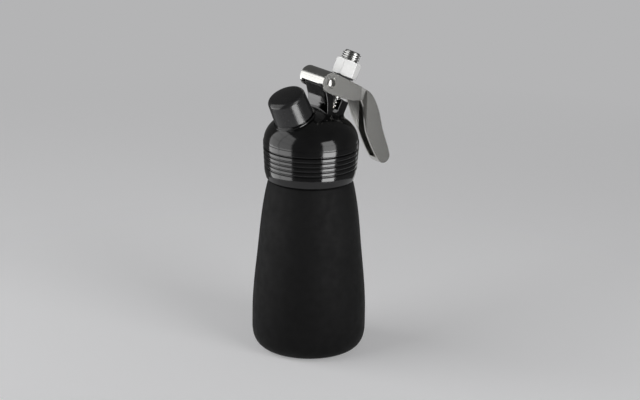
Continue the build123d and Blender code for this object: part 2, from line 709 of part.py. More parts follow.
with BuildPart() as nozzle_adapter:
    with BuildSketch(valve_across.offset(hex_bottom)):
        RegularPolygon(HEX_ACROSS_FLATS / 2, 6, major_radius=False)
    extrude(amount=HEX_HEIGHT)
    # Turned chamfer that takes the hexagon's corners off, top and bottom
    hex_corner = HEX_ACROSS_FLATS / 2 / cos(radians(30))
    with BuildSketch(valve_along):
        with BuildLine():
            draw_turned([
                (hex_corner - HEX_CHAMFER, hex_bottom),
                (hex_corner + 0.1, hex_bottom + HEX_CHAMFER * 0.6),
                (hex_corner + 0.1, hex_top - HEX_CHAMFER * 0.6),
                (hex_corner - HEX_CHAMFER, hex_top),
            ])
        make_face()
    revolve(axis=valve_axis, mode=Mode.INTERSECT)
    with BuildSketch(valve_along):
        with BuildLine():
            draw_turned([
                (TIP_RADIUS, hex_top),
                (TIP_RADIUS, tip_top - TIP_CHAMFER),
                (TIP_RADIUS - TIP_CHAMFER, tip_top),
            ])
        make_face()
    revolve(axis=valve_axis)
    with BuildSketch(valve_across.offset(hex_bottom)):
        Circle(stem_thread_radius)
    extrude(amount=STEM_TOP - hex_bottom, mode=Mode.SUBTRACT)
    with BuildSketch(valve_across.offset(STEM_TOP)):
        Circle(TIP_BORE)
    extrude(amount=tip_top - STEM_TOP, mode=Mode.SUBTRACT)
finish(nozzle_adapter, "nozzle_adapter")

# ------------------------------------------------------------------------- lever
PLAN_REACH = 100        # the plan's prism is longer and higher than the lever
lever_plan = Plane(origin=(pivot_x, 0, pivot_z - PLAN_REACH))
slope_along = (cos(radians(LEVER_SLOPE)), -sin(radians(LEVER_SLOPE)))
grip_back = Spline(FORK_END, *GRIP_BACK, tangents=[slope_along, TIP_HEADING])
grip_tip = ThreePointArc(GRIP_BACK[-1], GRIP_TIP, GRIP_FRONT[0])


def inward(curve, share, inset):
    """Point a share of the way along an outer curve, moved inset into the sheet."""
    point = curve @ share
    along = curve % share
    return point.X + along.Y * inset, point.Y - along.X * inset


def draw_lever_back(hood_end, inset):
    """Back line of the lever: round the pivot from hood_end degrees, down the fork, grip and tip."""
    start = 90 - LEVER_SLOPE
    hood = CenterArc((0, 0), HOOD_RADIUS - inset, start, hood_end - start)
    fork = Line(hood @ 0, inward(grip_back, 0, inset))
    shares = (0.2, 0.4, 0.6, 0.8, 1)
    back = Spline(
        fork @ 1,
        *[inward(grip_back, share, inset) for share in shares],
        tangents=[slope_along, TIP_HEADING],
    )
    tip = ThreePointArc(back @ 1, *[inward(grip_tip, share, inset) for share in (0.5, 1)])
    return hood @ 1, tip @ 1


def plan_outline(inset):
    """Corners of the lever's plan: wide fork, joggle, narrow grip."""
    wide = fork_width / 2 - inset
    narrow = GRIP_WIDTH / 2 - inset
    half = [
        (-PLAN_REACH, wide),
        (JOGGLE_START, wide),
        (JOGGLE_END, narrow),
        (PLAN_REACH, narrow),
    ]
    return half + [(x, -y) for x, y in reversed(half)]


with BuildPart() as lever_hollow:
    # Space inside the formed sheet, open towards the bottle and under the hood
    with BuildSketch(lever_section):
        with BuildLine():
            hood_end, tip_end = draw_lever_back(180, SHEET)
            Polyline(
                tip_end,
                (tip_end.X, tip_end.Y + SHEET),
                (0, tip_end.Y + SHEET),
                (-PLAN_REACH, hood_end.Y),
                hood_end,
            )
        make_face()
    extrude(amount=fork_width / 2, both=True)
    with BuildSketch(lever_plan):
        with BuildLine():
            Polyline(*plan_outline(SHEET), close=True)
        make_face()
    extrude(amount=2 * PLAN_REACH, mode=Mode.INTERSECT)

with BuildPart() as lever:
    with BuildSketch(lever_section):
        with BuildLine():
            corner, tip_end = draw_lever_back(FORK_CORNER, 0)
            front = Spline(*GRIP_FRONT, tangents=[grip_tip % 1, (-0.35, 0.94)])
            below = Spline(*FORK_BELOW, corner)
            Line(front @ 1, below @ 0)
        make_face()
    extrude(amount=fork_width / 2, both=True)
    with BuildSketch(lever_plan):
        with BuildLine():
            Polyline(*plan_outline(0), close=True)
        make_face()
    extrude(amount=2 * PLAN_REACH, mode=Mode.INTERSECT)
    add(lever_hollow.part, mode=Mode.SUBTRACT)
    # Opening in the top for the valve
    with BuildSketch(lever_plan.offset(PLAN_REACH + FORK_BELOW[0][1])):
        with Locations(((WINDOW_START + WINDOW_END) / 2, 0)):
            Rectangle(WINDOW_END - WINDOW_START, 2 * arm_inner)
    extrude(amount=PLAN_REACH, mode=Mode.SUBTRACT)
    # Bosses on the arms that press the spring plate
    boss_station = plate_top + PRESS_GAP + PRESS_BOSS_RADIUS
    boss_centre = valve_across.offset(boss_station).origin
    for hand in (1, -1):
        boss_root = (boss_centre.X, hand * arm_inner, boss_centre.Z)
        with BuildSketch(Plane(origin=boss_root, z_dir=(0, -hand, 0))):
            Circle(PRESS_BOSS_RADIUS)
        extrude(amount=arm_inner - hub_radius - GAP)
    # Countersunk holes for the pin
    with BuildSketch(lever_section):
        Circle(PIN_RADIUS + RUNNING)
    extrude(amount=fork_width, both=True, mode=Mode.SUBTRACT)
    for hand in (1, -1):
        sink_mouth = (pivot_x, hand * fork_width / 2, pivot_z)
        with BuildSketch(Plane(origin=sink_mouth, z_dir=(0, -hand, 0))):
            Circle(PIN_SINK_RADIUS)
        extrude(amount=PIN_SINK_DEPTH, mode=Mode.SUBTRACT)
finish(lever, "lever")

with BuildPart() as pivot_pin:
    with BuildSketch(lever_section):
        Circle(PIN_RADIUS)
    extrude(amount=fork_width / 2 - PIN_SINK_DEPTH + GAP, both=True)
    for hand in (1, -1):
        head_start = hand * (fork_width / 2 - PIN_SINK_DEPTH + RUNNING)
        with BuildSketch(Plane(origin=(pivot_x, head_start, pivot_z), z_dir=(0, hand, 0))):
            Circle(PIN_HEAD_RADIUS)
        extrude(amount=PIN_SINK_DEPTH + PIN_HEAD_PROUD)
    rim_edges = pivot_pin.edges().filter_by(GeomType.CIRCLE).sort_by(Axis.Y)
    chamfer([rim_edges[0], rim_edges[-1]], length=PIN_HEAD_PROUD, length2=2 * PIN_HEAD_PROUD)
finish(pivot_pin, "pivot_pin")
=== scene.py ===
"""A small whipped cream dispenser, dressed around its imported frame.

Every piece is made in millimetres on its own axis and then seated in the frame, which is in metres:
+Z is up, the valve and its lever lean towards +X and the charger port leans towards -X.
"""

import logging
from dataclasses import dataclass
from enum import Enum
from functools import cache
from math import cos, pi, radians, sin, sqrt, tau
from typing import Iterable, Sequence

import bmesh
import bpy
from bmesh.types import BMEdge, BMesh, BMFace, BMVert
from mathutils import Matrix, Quaternion, Vector
from mathutils.bvhtree import BVHTree
from mathutils.geometry import interpolate_bezier


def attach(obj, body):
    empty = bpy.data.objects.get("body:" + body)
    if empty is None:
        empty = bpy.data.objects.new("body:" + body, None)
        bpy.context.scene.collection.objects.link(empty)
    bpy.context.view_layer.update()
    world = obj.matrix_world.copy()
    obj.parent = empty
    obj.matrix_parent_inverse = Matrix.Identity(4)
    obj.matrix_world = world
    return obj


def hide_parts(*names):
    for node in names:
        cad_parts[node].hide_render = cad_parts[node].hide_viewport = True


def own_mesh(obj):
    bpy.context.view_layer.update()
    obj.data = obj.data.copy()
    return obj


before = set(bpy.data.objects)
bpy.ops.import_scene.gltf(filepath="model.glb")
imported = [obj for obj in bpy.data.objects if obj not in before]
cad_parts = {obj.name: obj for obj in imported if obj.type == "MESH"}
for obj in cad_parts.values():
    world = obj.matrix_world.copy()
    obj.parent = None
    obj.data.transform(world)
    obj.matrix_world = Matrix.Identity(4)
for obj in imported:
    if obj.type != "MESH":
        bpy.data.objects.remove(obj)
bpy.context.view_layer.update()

log = logging.getLogger("dispenser")

MILLIMETRE = 0.001
WELD = 0.0002           # millimetres between points that are one
CUT_WELD = 0.004        # the same after a cut
RIM_WELD = 0.01         # the same after a cut piece's edges are rounded
FLAT = 0.1              # degrees between faces that are one after a cut
HIDDEN = 0.25           # how far a piece reaches into the one that carries it
RUN_OUT = 0.7           # turns in which a thread's ridge runs out
CREST = 0.3             # share of a ridge's width that is left at its crest

Colour = tuple[float, float, float]
Point = tuple[float, float, float]
Place = tuple[float, float]     # radius or reach, and height
Socket = bpy.types.NodeSocket

# --------------------------------------------------------------------------- axes
HEAD_BASE = 117.8       # height of the head's bottom edge
MEETING = (0.0, 0.0, 130.4)     # where both tilted axes leave the bottle's axis
VALVE_TILT = 26.0
PORT_TILT = -25.0
PIVOT = (6.501, 0.0, 183.0015)

ON_HEAD = Matrix.Translation((0.0, 0.0, HEAD_BASE))
ON_VALVE = Matrix.Translation(MEETING) @ Matrix.Rotation(radians(VALVE_TILT), 4, "Y")
ON_PORT = Matrix.Translation(MEETING) @ Matrix.Rotation(radians(PORT_TILT), 4, "Y")
ON_PIVOT = Matrix.Translation(PIVOT)


# ----------------------------------------------------------------------- finishes
class Graph:
    """The node tree of one material, with its shader."""

    def __init__(self, name: str) -> None:
        """Start an empty material.

        Args:
            name: the material's name.
        """
        self.material = bpy.data.materials.new(name)
        self.material.use_nodes = True
        self.tree = self.material.node_tree
        self.tree.nodes.clear()
        self.shader = self.node("BsdfPrincipled")
        self.node("OutputMaterial", self.shader.outputs[0])

    def node(self, kind: str, *sources: Socket, **constants: object) -> bpy.types.Node:
        """Add a node.

        Args:
            kind: its type.
            sources: what feeds its first inputs.
            constants: values of other inputs, by name.

        Returns:
            The node.
        """
        made = self.tree.nodes.new(f"ShaderNode{kind}")
        for source, target in zip(sources, made.inputs):
            self.link(source, target)
        for name, value in constants.items():
            made.inputs[name].default_value = value
        return made

    def link(self, source: Socket, target: Socket) -> None:
        """Join two sockets."""
        self.tree.links.new(source, target)

    def feed(self, source: Socket, name: str) -> None:
        """Let a value drive one of the shader's inputs."""
        self.link(source, self.shader.inputs[name])

    def set(self, **values: object) -> None:
        """Write constants on the shader's own sockets.

        Args:
            values: by the socket's name, with _ for a space.
        """
        for name, value in values.items():
            constant = (*value, 1.0) if isinstance(value, tuple) else value
            self.shader.inputs[name.replace("_", " ")].default_value = constant

    def place(self, tilt: float, origin: Point, stretch: Point = (1.0, 1.0, 1.0)) -> Socket:
        """Object coordinates turned onto an axis and stretched.

        Args:
            tilt: degrees that the axis leans towards +X.
            origin: a point of the axis, in millimetres.
            stretch: how many times each direction is repeated.

        Returns:
            The socket with the coordinates.
        """
        vector = self.node("TexCoord").outputs["Object"]
        centre = self.node("Mapping", vector, Location=[-x * MILLIMETRE for x in origin])
        turned = self.node("Mapping", centre.outputs[0], Rotation=(0.0, -radians(tilt), 0.0))
        return self.node("Mapping", turned.outputs[0], Scale=stretch).outputs[0]

    def around(self, tilt: float, origin: Point) -> Socket:
        """Radius from an axis and station along it, as the coordinates of a turned face.

        Args:
            tilt: degrees that the axis leans towards +X.
            origin: a point of the axis, in millimetres.

        Returns:
            The socket with (radius, 0, station).
        """
        across, aside, station = self.node("SeparateXYZ", self.place(tilt, origin)).outputs
        radius = self.node("VectorMath", self.node("CombineXYZ", across, aside).outputs[0])
        radius.operation = "LENGTH"
        joined = self.node("CombineXYZ", radius.outputs["Value"])
        self.link(station, joined.inputs[2])
        return joined.outputs[0]

    def noise(self, size: float, detail: float = 3.0, vector: Socket | None = None) -> Socket:
        """Noise with grains of a real size.

        Args:
            size: the grain in millimetres.
            detail: octaves of finer grain.
            vector: coordinates, or None for the object's own.

        Returns:
            The noise from 0 to 1.
        """
        if vector is None:
            vector = self.node("TexCoord").outputs["Object"]
        scale = 1 / (size * MILLIMETRE)
        return self.node("TexNoise", vector, Scale=scale, Detail=detail).outputs["Fac"]

    def spread(self, value: Socket, low: float, high: float, start: float = 0.3,
               end: float = 0.7) -> Socket:
        """A value brought to a range.

        Args:
            value: the value, such as noise from 0 to 1.
            low: result at start.
            high: result at end.
            start: value that gives low.
            end: value that gives high.

        Returns:
            The ranged value.
        """
        ranged = self.node("MapRange", value)
        for place, number in enumerate((start, end, low, high), start=1):
            ranged.inputs[place].default_value = number
        return ranged.outputs[0]

    def math(self, operation: str, *values: Socket) -> Socket:
        """Result of a sum.

        Args:
            operation: which sum.
            values: what goes into it.

        Returns:
            The result.
        """
        node = self.node("Math", *values)
        node.operation = operation
        return node.outputs[0]

    def shades(self, value: Socket, first: Colour, second: Colour, start: float = 0.3,
               end: float = 0.7) -> None:
        """Colour the shader from first to second by a value.

        Args:
            value: the value, such as noise from 0 to 1.
            first: colour up to start.
            second: colour from end on.
            start: value that still gives the first colour.
            end: value that gives the second.
        """
        ramp = self.node("ValToRGB", value)
        for element, place, colour in zip(ramp.color_ramp.elements, (start, end), (first, second)):
            element.position = place
            element.color = (*colour, 1.0)
        self.feed(ramp.outputs[0], "Base Color")

    def gloss(self, value: Socket, smooth: float, rough: float) -> None:
        """Vary the shader's roughness from smooth to rough by a noise value."""
        self.feed(self.spread(value, smooth, rough), "Roughness")

    def relief(self, *layers: tuple[Socket, float]) -> None:
        """Raise the surface by layers of noise.

        Args:
            layers: pairs of a noise value and its height in millimetres, each on top of the last.
        """
        below = None
        for value, height in layers:
            bump = self.node("Bump", Strength=1.0, Distance=height * MILLIMETRE)
            self.link(value, bump.inputs["Height"])
            if below is not None:
                self.link(below, bump.inputs["Normal"])
            below = bump.outputs[0]
        self.feed(below, "Normal")


@dataclass(frozen=True)
class Finish:
    """A surface finish; each kind of finish says how it is laid on in lay()."""

    name: str
    colour: Colour
    second: Colour          # what the colour drifts towards
    smooth: float           # roughness where it is smoothest
    rough: float            # roughness where it is roughest

    def lay(self, graph: Graph) -> None:
        """Build the nodes of this kind of finish."""
        raise NotImplementedError

    @cache
    def material(self) -> bpy.types.Material:
        """The finish as a material, made once.

        Returns:
            The material.
        """
        graph = Graph(self.name)
        self.lay(graph)
        return graph.material


@dataclass(frozen=True)
class MouldedRubber(Finish):
    """Soft matt silicone: a fine grain and a faint bloom in broad patches."""

    grain: float = 0.35
    height: float = 0.012
    sheen: float = 0.05
    patch: float = 26.0

    def lay(self, graph: Graph) -> None:
        """Build the nodes of this finish.

        Args:
            graph: where they are built.
        """
        bloom = graph.noise(self.patch, 4.0)
        grain = graph.noise(self.grain, 2.0)
        graph.shades(bloom, self.colour, self.second)
        graph.gloss(graph.noise(self.patch / 5, 3.0), self.smooth, self.rough)
        graph.set(Sheen_Weight=self.sheen, Sheen_Roughness=0.45, IOR=1.42, Specular_IOR_Level=0.18)
        graph.relief((bloom, self.height * 2), (grain, self.height))


@dataclass(frozen=True)
class Enamel(Finish):
    """Deep gloss lacquer over a casting: slight orange peel, soft waves, faint handling marks."""

    peel: float = 1.6
    height: float = 0.004
    wave: float = 9.0
    ior: float = 1.52

    def lay(self, graph: Graph) -> None:
        """Build the nodes of this finish.

        Args:
            graph: where they are built.
        """
        wave = graph.noise(self.wave, 2.0)
        peel = graph.noise(self.peel, 2.0)
        marks = graph.noise(5.0, 6.0)
        graph.shades(wave, self.colour, self.second)
        graph.gloss(marks, self.smooth, self.rough)
        graph.set(IOR=self.ior)
        graph.relief((wave, self.height * 6), (peel, self.height))


@dataclass(frozen=True)
class SatinPlastic(Finish):
    """Moulded plastic with a spark-eroded grain that catches a broad soft light."""

    grain: float = 0.28
    height: float = 0.004

    def lay(self, graph: Graph) -> None:
        """Build the nodes of this finish.

        Args:
            graph: where they are built.
        """
        drift = graph.noise(12.0, 3.0)
        graph.shades(drift, self.colour, self.second)
        graph.gloss(graph.noise(2.2, 4.0), self.smooth, self.rough)
        graph.set(IOR=1.5)
        graph.relief((graph.noise(self.grain, 1.0), self.height))


@dataclass(frozen=True)
class TurnedMetal(Finish):
    """Metal from the lathe: fine rings round its axis, on the side and on the end faces."""

    tilt: float = 0.0
    origin: Point = (0.0, 0.0, 0.0)
    pitch: float = 0.16
    height: float = 0.003
    metallic: float = 1.0

    def lay(self, graph: Graph) -> None:
        """Build the nodes of this finish.

        Args:
            graph: where they are built.
        """
        rings = graph.noise(self.pitch, 2.0, graph.around(self.tilt, self.origin))
        drift = graph.noise(6.0, 4.0)
        graph.shades(drift, self.colour, self.second)
        graph.gloss(rings, self.smooth, self.rough)
        graph.set(Metallic=self.metallic)
        graph.relief((rings, self.height))


@dataclass(frozen=True)
class TumbledSheet(Finish):
    """Pressed sheet, tumbled satin: fine lines along the press, small dents and a dull drift."""

    lines: float = 0.3
    height: float = 0.0003
    slope: float = 60.0
    polished: float = 0.14      # roughness of the hood
    satin_along: Place = (-1.0, 5.0)        # where the polish turns satin, from the pivot
    satin_aside: Place = (11.9, 12.5)       # and towards the arms' outer faces

    def lay(self, graph: Graph) -> None:
        """Build the nodes of this finish.

        Args:
            graph: where they are built.
        """
        along = graph.place(self.slope, PIVOT, (1.0, 1.0, 0.05))
        brush = graph.noise(self.lines, 2.0, along)
        dents = graph.noise(3.2, 2.0)
        drift = graph.noise(16.0, 2.0)
        graph.shades(drift, self.colour, self.second)
        forward, sideways, _ = graph.node("SeparateXYZ", graph.place(0.0, PIVOT)).outputs
        satin = []
        aside = graph.math("ABSOLUTE", sideways)
        for place, reach in ((forward, self.satin_along), (aside, self.satin_aside)):
            ends = [x * MILLIMETRE for x in reach]
            satin.append(graph.spread(place, self.polished, self.smooth, *ends))
        lines = graph.spread(brush, 0.0, self.rough - self.smooth)
        graph.feed(graph.math("ADD", graph.math("MAXIMUM", *satin), lines), "Roughness")
        graph.set(Metallic=1.0)
        graph.relief((dents, self.height * 1.6), (brush, self.height))


@dataclass(frozen=True)
class DrawnWire(Finish):
    """Polished wire with faint scratches and darker spots of oil."""

    oil: float = 2.4
    scratch: float = 0.3
    height: float = 0.002

    def lay(self, graph: Graph) -> None:
        """Build the nodes of this finish.

        Args:
            graph: where they are built.
        """
        graph.shades(graph.noise(self.oil, 4.0), self.colour, self.second)
        graph.gloss(graph.noise(0.25, 2.0), self.smooth, self.rough)
        graph.set(Metallic=1.0)
        graph.relief((graph.noise(self.scratch, 2.0), self.height))


SLEEVE_RUBBER = MouldedRubber(
    "sleeve_silicone", (0.0048, 0.0048, 0.005), (0.0066, 0.0066, 0.0068), 0.62, 0.76
)
SEAL_RUBBER = MouldedRubber(
    "seal_silicone", (0.05, 0.05, 0.052), (0.075, 0.075, 0.078), 0.5, 0.65,
    grain=0.3, height=0.008, sheen=0.1, patch=6.0,
)
CHECK_RUBBER = MouldedRubber(
    "check_valve_rubber", (0.02, 0.02, 0.021), (0.035, 0.034, 0.033), 0.45, 0.6,
    grain=0.25, height=0.006, sheen=0.1, patch=4.0,
)
HEAD_ENAMEL = Enamel(
    "black_gloss_enamel", (0.0035, 0.0035, 0.0037), (0.006, 0.006, 0.0062), 0.1, 0.15
)
CAP_PLASTIC = SatinPlastic(
    "charger_cap_plastic", (0.0135, 0.0135, 0.014), (0.018, 0.018, 0.0185), 0.21, 0.28
)
LEVER_STEEL = TumbledSheet(
    "lever_sheet_steel", (0.57, 0.565, 0.54), (0.63, 0.625, 0.6), 0.22, 0.23
)
BOTTLE_STEEL = TurnedMetal("bottle_steel", (0.56, 0.55, 0.53), (0.63, 0.62, 0.6), 0.2, 0.32)
PIN_STEEL = DrawnWire("pivot_pin_steel", (0.5, 0.49, 0.47), (0.62, 0.61, 0.59), 0.12, 0.22)
SPRING_STEEL = DrawnWire("spring_wire", (0.62, 0.61, 0.6), (0.75, 0.74, 0.73), 0.1, 0.2)
VALVE_AXIS = {"tilt": VALVE_TILT, "origin": MEETING}
PORT_AXIS = {"tilt": PORT_TILT, "origin": MEETING}
ADAPTER_METAL = TurnedMetal(
    "adapter_frosted_nickel", (0.9, 0.9, 0.895), (0.96, 0.96, 0.95), 0.36, 0.46, metallic=0.45,
    **VALVE_AXIS,
)
TIP_METAL = TurnedMetal(
    "adapter_thread_nickel", (0.8, 0.8, 0.79), (0.88, 0.88, 0.87), 0.16, 0.24, **VALVE_AXIS
)
# The tip's core and the root between its thread's ridges: the thread's own nickel, painted far
# darker as shade between the ridges.
SHADED_CORE_METAL = TurnedMetal(
    "adapter_core_nickel", (0.26, 0.26, 0.255), (0.34, 0.34, 0.335), 0.24, 0.32, **VALVE_AXIS
)
STEM_STEEL = TurnedMetal(
    "valve_stem_steel", (0.6, 0.59, 0.57), (0.68, 0.67, 0.65), 0.15, 0.28, **VALVE_AXIS
)
BUSH_METAL = TurnedMetal(
    "valve_bush_brass", (0.62, 0.58, 0.5), (0.7, 0.66, 0.57), 0.18, 0.3, **VALVE_AXIS
)
NUT_STEEL = TurnedMetal("nut_steel", (0.52, 0.51, 0.5), (0.6, 0.59, 0.57), 0.22, 0.36, **VALVE_AXIS)
PORT_METAL = TurnedMetal(
    "charger_port_nickel", (0.64, 0.63, 0.6), (0.72, 0.71, 0.68), 0.16, 0.3, **PORT_AXIS
)
NEEDLE_STEEL = TurnedMetal(
    "piercing_pin_steel", (0.55, 0.54, 0.53), (0.63, 0.62, 0.6), 0.14, 0.26, **PORT_AXIS
)


# ---------------------------------------------------------------------- workshop
@dataclass(frozen=True)
class Corner:
    """A corner of a half outline: its radius, its height and how far it is rounded."""

    radius: float
    height: float
    rounding: float = 0.0


def corners(*values: Sequence[float]) -> list[Corner]:
    """Corners from (radius, height) or (radius, height, rounding) rows."""
    return [Corner(*value) for value in values]


def bend(start: Sequence[float], out: Sequence[float], into: Sequence[float], end: Sequence[float],
         steps: int = 16) -> list[Corner]:
    """Points of a curved stretch of an outline, without its first.

    Args:
        start: (radius, height) where the curve starts.
        out: handle that it leaves by.
        into: handle that it arrives by.
        end: (radius, height) where it ends.
        steps: stretches that it is drawn with.

    Returns:
        The corners after the start.
    """
    handles = [Vector((x, 0.0, z)) for x, z in (start, out, into, end)]
    points = interpolate_bezier(*handles, steps + 1)
    return [Corner(point.x, point.z) for point in points[1:]]


def arc(centre: Sequence[float], reach: Sequence[float], start: float, end: float,
        steps: int = 12) -> list[Corner]:
    """Points of an elliptical arc of an outline.

    Args:
        centre: (radius, height) of the arc's centre.
        reach: half widths in radius and in height.
        start: degrees of the first point, 0 outwards and 90 upwards.
        end: degrees of the last point.
        steps: stretches that it is drawn with.

    Returns:
        The corners from start to end.
    """
    drawn = []
    for step in range(steps + 1):
        turn = radians(start + (end - start) * step / steps)
        drawn.append(Corner(centre[0] + reach[0] * cos(turn), centre[1] + reach[1] * sin(turn)))
    return drawn


def flow(places: Sequence[Sequence[float]], first: Sequence[float], last: Sequence[float],
         steps: int, with_start: bool) -> list[Corner]:
    """A smooth line through some places.

    Args:
        places: (radius, height) of each.
        first: heading at the first.
        last: heading at the last.
        steps: stretches between two places.
        with_start: whether the first place is given too.

    Returns:
        Its points.
    """
    points = [Vector(place) for place in places]
    headings = [Vector(first).normalized()]
    for before, here, after in zip(points, points[1:], points[2:]):
        into, out = here - before, after - here
        headings.append((into / into.length_squared + out / out.length_squared).normalized())
    headings.append(Vector(last).normalized())
    drawn = corners(points[0]) if with_start else []
    for start, end, leave, arrive in zip(points, points[1:], headings, headings[1:]):
        third = (end - start).length / 3
        drawn += bend(start, start + leave * third, end - arrive * third, end, steps)
    return drawn


def stand(name: str, data: bpy.types.ID) -> bpy.types.Object:
    """Put an object into the scene.

    Args:
        name: its name.
        data: its mesh, light or camera.

    Returns:
        The object.
    """
    made = bpy.data.objects.new(name, data)
    bpy.context.scene.collection.objects.link(made)
    return made


class Rounding(Enum):
    """What is rounded."""

    CORNERS = "VERTICES"
    EDGES = "EDGES"


def round_off(mesh: BMesh, what: Rounding, geom: Iterable[BMVert | BMEdge], size: float,
              segments: int) -> None:
    """Round corners or edges.

    Args:
        mesh: the mesh.
        what: which of the two.
        geom: the corners or edges.
        size: how far.
        segments: stretches of the rounding.
    """
    bmesh.ops.bevel(
        mesh, geom=list(geom), offset=size, offset_type="OFFSET", segments=segments, profile=0.5,
        affect=what.value, clamp_overlap=True, loop_slide=False, material=-1,
    )


class Joining(Enum):
    """How two solids are put together."""

    COMMON = "INTERSECT"
    LESS = "DIFFERENCE"


class Closing(Enum):
    """How a turned outline is closed."""

    ON_AXIS = "from axis to axis"
    RING = "back to its first corner"


class Workpiece:
    """A mesh in the making, in millimetres, with its axis upright."""

    def __init__(self) -> None:
        """Start with nothing."""
        self.mesh: BMesh = bmesh.new()

    def draw(self, outline: Sequence[Corner], closing: Closing, segments: int = 3) -> None:
        """Draw a half outline and round its corners.

        Args:
            outline: the corners in order.
            closing: how it is closed.
            segments: stretches of each rounding.
        """
        points = [self.mesh.verts.new((c.radius, 0.0, c.height)) for c in outline]
        pairs = list(zip(points, points[1:]))
        if closing is Closing.RING:
            pairs.append((points[-1], points[0]))
        for pair in pairs:
            self.mesh.edges.new(pair)
        for rounding in sorted({c.rounding for c in outline if c.rounding > 0}):
            chosen = [p for p, c in zip(points, outline) if c.rounding == rounding]
            round_off(self.mesh, Rounding.CORNERS, chosen, rounding, segments)

    def spin(self, steps: int, turns: float = 1.0, rise: float = 0.0,
             start: Sequence[BMVert | BMEdge] = ()) -> list[BMVert | BMEdge]:
        """Spin the drawing round the axis, or wind it up a helix.

        Args:
            steps: stretches on the way.
            turns: how far round.
            rise: how far up in all.
            start: what is spun, or nothing for the whole drawing.

        Returns:
            What stands at the end.
        """
        return bmesh.ops.spin(
            self.mesh, geom=start or self.mesh.verts[:] + self.mesh.edges[:], cent=(0, 0, 0),
            axis=(0, 0, 1), dvec=(0, 0, rise / steps), angle=tau * turns, steps=steps,
            use_merge=rise == 0, use_duplicate=False,
        )["geom_last"]

    def turn(self, outline: Sequence[Corner], closing: Closing = Closing.ON_AXIS,
             steps: int = 144) -> "Workpiece":
        """Turn a half outline into a closed body.

        Args:
            outline: the corners in order.
            closing: how it is closed.
            steps: stretches round the axis.

        Returns:
            The workpiece.
        """
        self.draw(outline, closing)
        self.spin(steps)
        return self.close()

    def sweep(self, outline: Sequence[Corner], steps: int = 96) -> "Workpiece":
        """Turn an open outline into a sheet whose faces look up.

        Args:
            outline: the corners in order.
            steps: stretches round the axis.

        Returns:
            The workpiece.
        """
        self.draw(outline, Closing.ON_AXIS)
        self.spin(steps)
        bmesh.ops.remove_doubles(self.mesh, verts=self.mesh.verts, dist=WELD)
        if sum(face.normal.z for face in self.mesh.faces) < 0:
            bmesh.ops.reverse_faces(self.mesh, faces=self.mesh.faces)
        return self

    def close(self, weld: float = WELD) -> "Workpiece":
        """Weld the doubles and turn the faces outwards.

        Args:
            weld: distance of points that are one.

        Returns:
            The workpiece.
        """
        bmesh.ops.remove_doubles(self.mesh, verts=self.mesh.verts, dist=weld)
        bmesh.ops.dissolve_degenerate(self.mesh, dist=weld, edges=self.mesh.edges)
        bmesh.ops.recalc_face_normals(self.mesh, faces=self.mesh.faces)
        return self

    def plug(self) -> "Workpiece":
        """Fill the open ends and close the body.

        Returns:
            The workpiece.
        """
        rims = [e for e in self.mesh.edges if e.is_boundary]
        bmesh.ops.holes_fill(self.mesh, edges=rims, sides=0)
        return self.close()

    def thread(self, root: float, crest: float, pitch: float, start: float, end: float,
               width: float = 0.62, steps: int = 48) -> "Workpiece":
        """Wind a thread's ridge, which runs out at both ends.

        Args:
            root: radius that the ridge stands on.
            crest: radius that it reaches, inside the root for a thread in a bore.
            pitch: rise in one turn.
            start: height where it starts.
            end: height where it ends.
            width: share of the pitch at the ridge's foot.
            steps: stretches in one turn.

        Returns:
            The workpiece.
        """
        foot = pitch * width / 2
        sunk = root + (HIDDEN if crest < root else -HIDDEN)
        flat = foot * CREST
        section = corners((sunk, start - foot), (root, start - foot), (crest, start - flat),
                          (crest, start + flat), (root, start + foot), (sunk, start + foot))
        self.draw(section, Closing.RING)
        turns = (end - start) / pitch
        self.spin(round(turns * steps), turns, end - start)
        for vert in self.mesh.verts:
            radius = sqrt(vert.co.x ** 2 + vert.co.y ** 2)
            near = min(vert.co.z - start + foot, end + foot - vert.co.z) / (pitch * RUN_OUT)
            faded = root + (radius - root) * max(0.0, min(1.0, near))
            if (radius - root) * (crest - root) > 0:
                vert.co.x *= faded / radius
                vert.co.y *= faded / radius
        return self.plug()

    def prism(self, outline: Sequence[Corner], half: float, rim: float) -> "Workpiece":
        """A plate with this side outline, from -half to +half across, its rims rounded.

        Args:
            outline: corners in the side view.
            half: half its thickness.
            rim: rounding of the rims.

        Returns:
            The workpiece.
        """
        self.draw(outline, Closing.RING, 6)
        face = bmesh.ops.contextual_create(self.mesh, geom=self.mesh.edges[:])["faces"][0]
        bmesh.ops.translate(self.mesh, verts=self.mesh.verts, vec=(0, -half, 0))
        grown = bmesh.ops.extrude_face_region(self.mesh, geom=[face], use_keep_orig=True)["geom"]
        self.shift(grown, (0, 2 * half, 0))
        self.close()
        rims = [e for e in self.mesh.edges if abs(abs(e.verts[0].co.y) - half) < WELD
                and abs(e.verts[0].co.y - e.verts[1].co.y) < WELD]
        if rim > 0:
            self.soften(rims, rim)
        return self

    def shift(self, grown: Iterable[object], by: Point) -> None:
        """Move the points among what an extrusion made."""
        bmesh.ops.translate(self.mesh, verts=[v for v in grown if isinstance(v, BMVert)], vec=by)

    def soften(self, edges: Iterable[BMEdge], rounding: float, segments: int = 3) -> None:
        """Round some edges."""
        round_off(self.mesh, Rounding.EDGES, edges, rounding, segments)

    def sharp(self, angle: float) -> list[BMEdge]:
        """Edges whose faces meet at more than an angle in degrees."""
        return [e for e in self.mesh.edges if len(e.link_faces) == 2
                and e.calc_face_angle(0.0) > radians(angle)]

    def level(self, height: float) -> list[BMFace]:
        """Faces that lie at a height."""
        return [f for f in self.mesh.faces if all(abs(v.co.z - height) < WELD for v in f.verts)]

